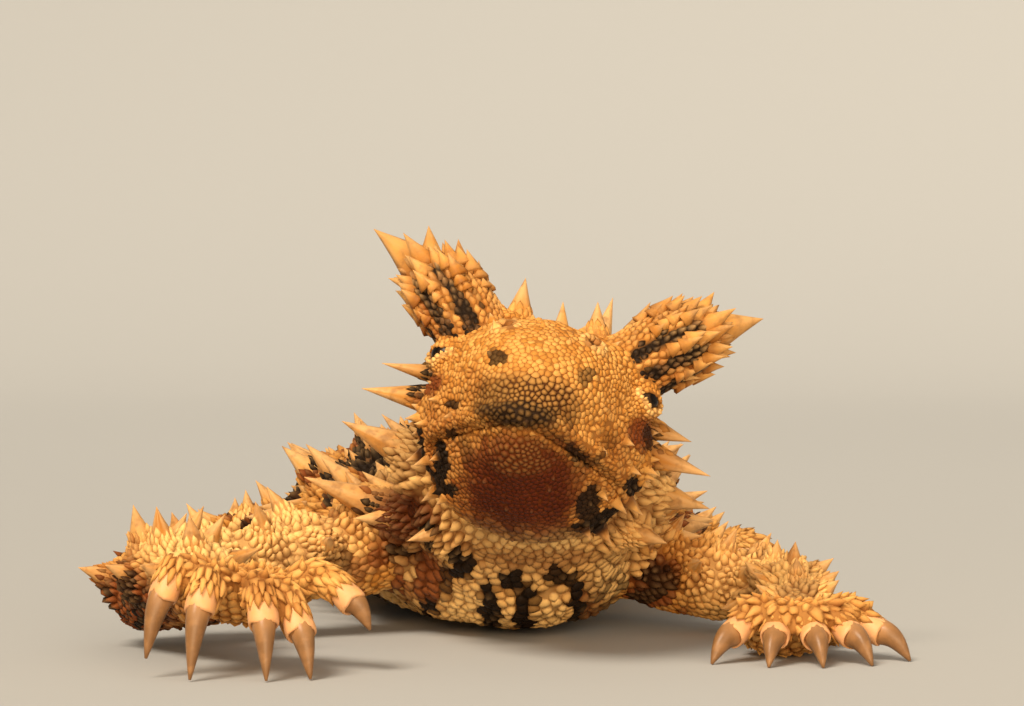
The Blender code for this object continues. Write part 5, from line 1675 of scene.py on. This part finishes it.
def claw_mesh(root, tip):
    """A grooved claw that arches from the toe down to a small blunt tip, and its points' shares of it."""
    span = tip - root
    lift = UP * np.linalg.norm(span) * 0.16
    shares = np.linspace(-0.3, 0.985, 16)
    path = np.array([root + span * s + lift * math.sin(math.pi * s) for s in shares])
    wide = CLAW_RADIUS * (1 - 0.92 * np.clip((shares + 0.1) / 1.1, 0, 1) ** 2.3)
    along = unit(np.gradient(path, axis=0))
    across = unit(np.cross(along, UP))
    other = np.cross(along, across)
    ring = polar(circle(CLAW_SIDES))
    points = [
        centre + half * (ring[:, :1] * a + ring[:, 1:] * b * 1.12)
        for centre, half, a, b in zip(path, wide, across, other)
    ]
    points += [path[:1] - along[0] * 0.05, path[-1:] + along[-1] * 0.02]
    points = on_floor(np.vstack(points))
    centre = np.vstack([np.repeat(path, CLAW_SIDES, axis=0), path[:1], path[-1:]])
    groove = np.append(np.tile(np.cos(np.arange(CLAW_SIDES) * math.pi), len(path)), [0, 0])
    points += (points - centre) * (0.025 * groove)[:, None]
    rise = np.concatenate([np.repeat(shares, CLAW_SIDES), [-0.3, 1.0]])
    return points, ring_faces(len(path), CLAW_SIDES), rise


def cuff_axes(root, tip):
    """The way a cuff points, and two directions across it."""
    direction = unit(tip - root + 0.25 * UP * np.linalg.norm(tip - root))
    across = unit(np.cross(direction, UP))
    return direction, across, np.cross(direction, across)


def in_cuffs(places):
    """True inside the cuffs, where no scale of the toes may come through."""
    half, back, ahead = CUFF
    found = np.zeros(len(places), bool)
    for root, tip in claw_ends(*FEET.values()):
        direction = cuff_axes(root, tip)[0]
        along = (places - root) @ direction
        off = np.linalg.norm(places - root - along[:, None] * direction, axis=1)
        found |= (along > -back * 0.8) & (along < ahead + 1) & (off < half * 1.15)
    return found


def cuff_mesh(root, tip):
    """The smooth thimble of skin that a claw comes out of, turned in at its lip."""
    half, back, ahead = CUFF
    direction, across, other = cuff_axes(root, tip)
    share, wide = np.array(CUFF_PROFILE).T
    path = root + direction * (-back + (back + ahead) * share)[:, None]
    ring = polar(circle(CUFF_SIDES))
    points = [c + w * (ring[:, :1] * across + ring[:, 1:] * other * 0.92) for c, w in zip(path, half * wide)]
    points = np.vstack(points + [path[:1], path[-1:]])
    lumps = (noise(points, 0.9, 51) - 0.5)[:, None]
    points += direction * 0.5 * lumps + 0.12 * lumps * unit(points - root)
    return on_floor(points), ring_faces(len(path), CUFF_SIDES), np.zeros(len(points))


def make_toe_ends(kind, shape, foot):
    """All claws or all cuffs of a foot as one object."""
    meshes = [shape(root, tip) for root, tip in claw_ends(FEET[foot])]
    points, faces = joined([m[:2] for m in meshes])
    rise = np.clip(np.concatenate([m[2] for m in meshes]), 0, 1)
    return new_object(f"{kind}_{foot}", points, by_corners(faces), {"rise": rise})


def make_eye(name):
    """The ball between the lids, with a low bulge where it looks."""
    eye = Eye(SIDES[name])
    points, faces = ball(eye.centre, (EYE_RADIUS * 0.98,) * 3, 40, 64)
    facing = unit(points - eye.centre) @ eye.look
    points += np.outer(smooth(facing, 0.75, 1.0) * 0.06, eye.look)
    return new_object(f"eyeball_{name}", points, by_corners(faces), {"facing": facing})


class Material:
    """A material with its nodes, with short calls to add them."""

    def __init__(self, name, roughness, specular=0.5):
        self.made = bpy.data.materials.new(name)
        self.made.use_nodes = True
        self.tree = self.made.node_tree
        self.shader = self.tree.nodes["Principled BSDF"]
        self.shader.inputs["Roughness"].default_value = roughness
        self.shader.inputs["Specular IOR Level"].default_value = specular
        self.place = self.tree.nodes.new("ShaderNodeTexCoord").outputs["Object"]

    def link(self, socket, value):
        if isinstance(value, bpy.types.NodeSocket):
            self.tree.links.new(value, socket)
        elif isinstance(value, tuple):
            socket.default_value = (*value, 1.0)
        else:
            socket.default_value = value

    def number(self, name):
        """One of the mesh's named numbers."""
        node = self.tree.nodes.new("ShaderNodeAttribute")
        node.attribute_name = name
        return node.outputs["Fac"]

    def noise(self, size, detail=3.0):
        """Noise with lumps of a size in millimetres."""
        node = self.tree.nodes.new("ShaderNodeTexNoise")
        node.inputs["Scale"].default_value = 1 / (size * MM)
        node.inputs["Detail"].default_value = detail
        self.link(node.inputs["Vector"], self.place)
        return node.outputs["Fac"]

    def ramp(self, value, low, high, low_to=0.0, high_to=1.0):
        node = self.tree.nodes.new("ShaderNodeMapRange")
        node.interpolation_type = "SMOOTHSTEP"
        for key, number in (("From Min", low), ("From Max", high), ("To Min", low_to), ("To Max", high_to)):
            node.inputs[key].default_value = number
        self.link(node.inputs["Value"], value)
        return node.outputs["Result"]

    def math(self, kind, first, second):
        node = self.tree.nodes.new("ShaderNodeMath")
        node.operation = kind
        node.use_clamp = True
        self.link(node.inputs[0], first)
        self.link(node.inputs[1], second)
        return node.outputs[0]

    def mix(self, share, first, second):
        node = self.tree.nodes.new("ShaderNodeMix")
        node.data_type = "RGBA"
        self.link(node.inputs["Factor"], share)
        self.link(node.inputs["A"], first)
        self.link(node.inputs["B"], second)
        return node.outputs["Result"]

    def bump(self, height, depth, strength=0.6):
        node = self.tree.nodes.new("ShaderNodeBump")
        node.inputs["Distance"].default_value = depth * MM
        node.inputs["Strength"].default_value = strength
        self.link(node.inputs["Height"], height)
        self.link(self.shader.inputs["Normal"], node.outputs["Normal"])

    def colour(self, value):
        self.link(self.shader.inputs["Base Color"], value)


def coat_material(name, roughness, crevice_shade_to, tipped, tip=TIP, grain=0.16, depth=0.035):
    """The animal's own colours: ochre to gold, cream, russet and brown marks; and painted shade that darkens
    the crevices between and round the scales.
    """
    made = Material(name, roughness, 0.1)
    half = made.math("MULTIPLY", made.number("shade"), 0.5)
    varied = made.math("ADD", half, made.math("MULTIPLY", made.noise(1.3), 0.5))
    colour = made.mix(made.ramp(varied, 0.25, 0.8), OCHRE, GOLD)
    colour = made.mix(made.number("pale"), colour, CREAM)
    colour = made.mix(made.math("MULTIPLY", made.number("red"), 0.9), colour, RUSSET)
    colour = made.mix(made.math("MULTIPLY", made.number("deep"), 0.85), colour, UMBER)
    stain = made.ramp(made.noise(4.5), 0.5, 0.72, 0.0, 0.25)
    colour = made.mix(stain, colour, RUSSET)
    beaded = made.number("bead")
    # Painted shade: low on a scale, and on the bare skin between scales, the colour turns towards the
    # crevice shade
    hollow = made.mix(0.8, colour, CREVICE_SHADE)
    colour = made.mix(made.ramp(made.number("rise"), 0.1, crevice_shade_to), hollow, colour)
    # Painted shade round the bases of beaded scales
    edge = made.math("MULTIPLY", beaded, made.ramp(made.number("rise"), 0.3, 0.95, 0.8, 0.0))
    colour = made.mix(edge, colour, CREVICE_SHADE)
    colour = made.mix(made.number("dark"), colour, BROWN)
    top = made.math("MULTIPLY", beaded, made.ramp(made.number("rise"), 0.6, 1.0, 0.0, 0.4))
    colour = made.mix(top, colour, GOLD)
    if tipped:
        colour = made.mix(made.ramp(made.number("tip"), 0.1, 0.9, 0.0, tipped), colour, tip)
    if tipped > 0.5:
        colour = made.mix(made.ramp(made.noise(0.9), 0.48, 0.72, 0.0, 0.6), colour, STAIN)
    made.colour(colour)
    rough = made.ramp(made.noise(0.5), 0.3, 0.7, roughness - 0.1, roughness + 0.12)
    made.link(made.shader.inputs["Roughness"], rough)
    made.bump(made.noise(grain, 5.0), depth)
    return made.made


def plain_material(name, roughness, root, end, speck, depth):
    """Horn or bare skin of one colour at its root and another at its end, with soft flecks."""
    made = Material(name, roughness, 0.3)
    colour = made.mix(made.ramp(made.number("rise"), 0.05, 0.55), root, end)
    made.colour(made.mix(made.ramp(made.noise(0.7), 0.4, 0.75, 0.0, 0.5), colour, speck))
    made.bump(made.noise(0.3, 4.0), depth)
    return made.made


def eye_material():
    """Wet and dark, with a brown iris between the pupil and the edge."""
    made = Material("wet eye", 0.2)
    made.shader.inputs["IOR"].default_value = 1.2
    facing = made.number("facing")
    ring = made.math("MULTIPLY", made.ramp(facing, 0.62, 0.78), made.ramp(facing, 0.955, 0.90))
    fleck = made.ramp(made.noise(0.25), 0.2, 0.8)
    made.colour(made.mix(made.math("MULTIPLY", ring, fleck), EYE_BLACK, IRIS))
    return made.made


def make_looks():
    return {
        "skin": coat_material("thorny skin", 0.75, 0.6, 0.0),
        "scales": coat_material("granular scales", 0.66, 0.9, 0.3),
        "thorns": coat_material("thorn horn", 0.55, 0.5, 0.85, TIP, 0.3, 0.08),
        "horns": coat_material("horn thorns", 0.55, 0.7, 0.8, HORN_TIP, 0.25, 0.05),
        "eyes": eye_material(),
        "claws": plain_material("claw horn", 0.36, CLAW_ROOT, CLAW, CLAW_ROOT, 0.02),
        "cuffs": plain_material("bare cuff", 0.5, CUFF_COLOUR, CUFF_COLOUR, GOLD, 0.03),
    }


def make_stage():
    """A pale floor that rises into a round wall far off."""
    profile = [(FLOOR_RADIUS / 2, 0.0), (FLOOR_RADIUS, 0.0)]
    steps = 16
    for k in range(1, steps + 1):
        turn = math.pi / 2 * k / steps
        profile.append((FLOOR_RADIUS + FLOOR_RISE * math.sin(turn), FLOOR_RISE * (1 - math.cos(turn))))
    profile.append((FLOOR_RADIUS + FLOOR_RISE, WALL_HEIGHT))
    sides = 96
    points = [(r * x, r * y, z) for r, z in profile for x, y in polar(circle(sides))]
    points.append((0.0, 0.0, 0.0))
    faces = [(len(points) - 1, k, (k + 1) % sides) for k in range(sides)]
    for r in range(len(profile) - 1):
        for k in range(sides):
            a, b = r * sides + k, r * sides + (k + 1) % sides
            faces.append((a, a + sides, b + sides, b))
    mesh = bpy.data.meshes.new("floor")
    mesh.from_pydata(points, [], faces)
    mesh.shade_smooth()
    pale = Material("plain pale floor", 0.9, 0.2)
    pale.colour(PALE_FLOOR)
    mesh.materials.append(pale.made)
    linked(bpy.data.objects.new("floor", mesh))


def make_camera():
    camera = bpy.data.cameras.new("camera")
    camera.lens = LENS
    camera.sensor_width = 36.0
    camera.clip_start = 0.01
    made = linked(bpy.data.objects.new("camera", camera))
    made.location = (CAMERA + SHIFT) * MM
    made.rotation_euler = (math.pi / 2, 0, 0)
    bpy.context.scene.camera = made
    bpy.context.scene.view_settings.view_transform = "Standard"


def make_lights():
    for name, (kind, place, size, power, colour) in LIGHTS.items():
        lamp = bpy.data.lights.new(name, kind)
        lamp.energy = power
        lamp.color = colour
        if kind == "SUN":
            lamp.angle = size
        else:
            lamp.size = size
        made = linked(bpy.data.objects.new(name, lamp))
        made.location = place
        made.rotation_euler = (Vector(LIT_PLACE) - Vector(place)).to_track_quat("-Z", "Y").to_euler()
    world = bpy.data.worlds.new("studio")
    world.use_nodes = True
    room = world.node_tree.nodes["Background"].inputs
    room["Color"].default_value = (*ROOM_LIGHT, 1.0)
    room["Strength"].default_value = ROOM_POWER
    bpy.context.scene.world = world


def carried(piece, material, slot, *nodes):
    """Gives a piece its material and the body that it rides on, and hides the nodes that it replaces. The
    slot is not used.
    """
    piece.data.materials.append(material)
    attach(piece, "root")
    if nodes:
        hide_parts(*nodes)


def bare(places):
    """True where no scale grows: the eyes, the mouth, the nostrils, the ears, and under the horns."""
    local = to_head(places)
    found = distance_to(local, mouth_line())[0] < MOUTH_CLEAR
    for name, side in SIDES.items():
        found |= np.linalg.norm(local - nostril_place(side), axis=1) < NOSTRIL_CLEAR
        found |= np.linalg.norm(local - ear_place(side), axis=1) < EAR_CLEAR
        reach, outside = Eye(side).outside(places)
        found |= (reach < EYE_CLEAR) & (outside < LIDS_CLEAR)
        share, _, level = Horn(name).tube.locate(places)
        found |= (level < 1.0) & (share > 0.1)
    return found | in_cuffs(places)


def dress_skin(body, surface, where, looks):
    """The skin itself, in place of all nodes of flesh."""
    count = len(surface.points)
    found = markings(body, surface.points, where)
    # A rise of 0.3 gives the bare skin between the scales part of the painted crevice shade
    found.update(shade=np.full(count, 0.4), rise=np.full(count, 0.3), tip=np.zeros(count))
    skin = new_object("one_skin", surface.points, [surface.triangles], found)
    flesh = ["torso", "neck", "head", "tail_base", "tail_tip", *LIMBS, *FEET]
    carried(skin, looks["skin"], "skin", *flesh)


def scale_spacing(body, points, where):
    """The distance between the scales at each point of the skin, uneven, and small round the eyes."""
    part, share, _ = where
    spacing = np.vectorize(SPACING.get)(body.regions(part, share))
    spacing = spacing * (0.78 + 0.5 * noise(points, 1.3, 41))
    for side in (1, -1):
        reach = Eye(side).outside(points)[0]
        spacing = spacing + (EYE_SPACING - spacing) * smooth(3.2 - reach, 0.0, 0.8)
    return spacing


def dress_scales(body, surface, spacing, spines, looks, number):
    """The scales of each region."""
    places, normals, room = scatter(surface, spacing, number)
    gap, nearest = distance_to(places, roots_of(spines))
    kept = (gap > 0.8 * radii_of(spines)[nearest]) & (places[:, 2] > 0.05) & ~bare(places)
    part, share, angle = body.locate(places)
    region = body.regions(part, share)
    for name in SPACING:
        here = kept & (region == name)
        chosen = [v[here] for v in (places, normals, room, part, share, angle)]
        carried(make_scales(body, name, chosen, spines, number), looks["scales"], "skin")


def dress_thorns(body, surface, spines, looks, number):
    """The thorns of each part of the body, and the scales that climb them."""
    skin = (kd_tree(surface.points), surface.points, surface.normals())
    for kind in ("head", "neck", "torso", "tail", "arms", "legs"):
        chosen = [s for s in spines if s.region == kind]
        roots = roots_of(chosen)
        where = body.locate(roots)
        made = make_spines(f"spines_{kind}", chosen, markings(body, roots, where), number, *where)
        carried(made, looks["thorns"], "horn")
        carried(make_collars(body, kind, chosen, skin, number), looks["scales"], "skin")


def dress_side(name, looks, chance, number):
    """A horn with its scales and thorns, and the eye under it."""
    core, scales, horn = make_horn(name, number)
    thorns = horn_spines(name, horn, chance)
    roots = roots_of(thorns)
    share, angle = horn.locate(roots)
    found = horn_markings(share, angle, roots)
    made = make_spines(f"horn_thorns_{name}", thorns, found, number, np.zeros(len(roots)), share, angle)
    carried(core, looks["skin"], "horn", f"horn_{name}")
    carried(scales, looks["horns"], "horn", f"horn_{name}")
    carried(made, looks["horns"], "horn", f"horn_{name}")
    carried(make_eye(name), looks["eyes"], "eye", f"eye_{name}")


def main():
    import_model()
    make_stage()
    make_camera()
    make_lights()
    looks = make_looks()
    body = Body()
    chance = random.Random(SEED)
    number = np.random.default_rng(SEED)
    spines = single_spines() + clear_spines(body, row_spines(body))
    surface = make_skin_surface(spines)
    spines += clear_spines(body, between_spines(body, surface, spines, number))

    where = body.locate(surface.points)
    dress_skin(body, surface, where, looks)
    spacing = scale_spacing(body, surface.points, where)
    dress_scales(body, surface, spacing, spines, looks, number)
    dress_thorns(body, surface, spines, looks, number)
    for name in SIDES:
        dress_side(name, looks, chance, number)
    carried(make_fringes(body, number), looks["scales"], "skin")
    for foot in FEET:
        for kind, shape in (("claws", claw_mesh), ("cuffs", cuff_mesh)):
            carried(make_toe_ends(kind, shape, foot), looks[kind], "horn", foot)

    bpy.context.view_layer.update()


main()
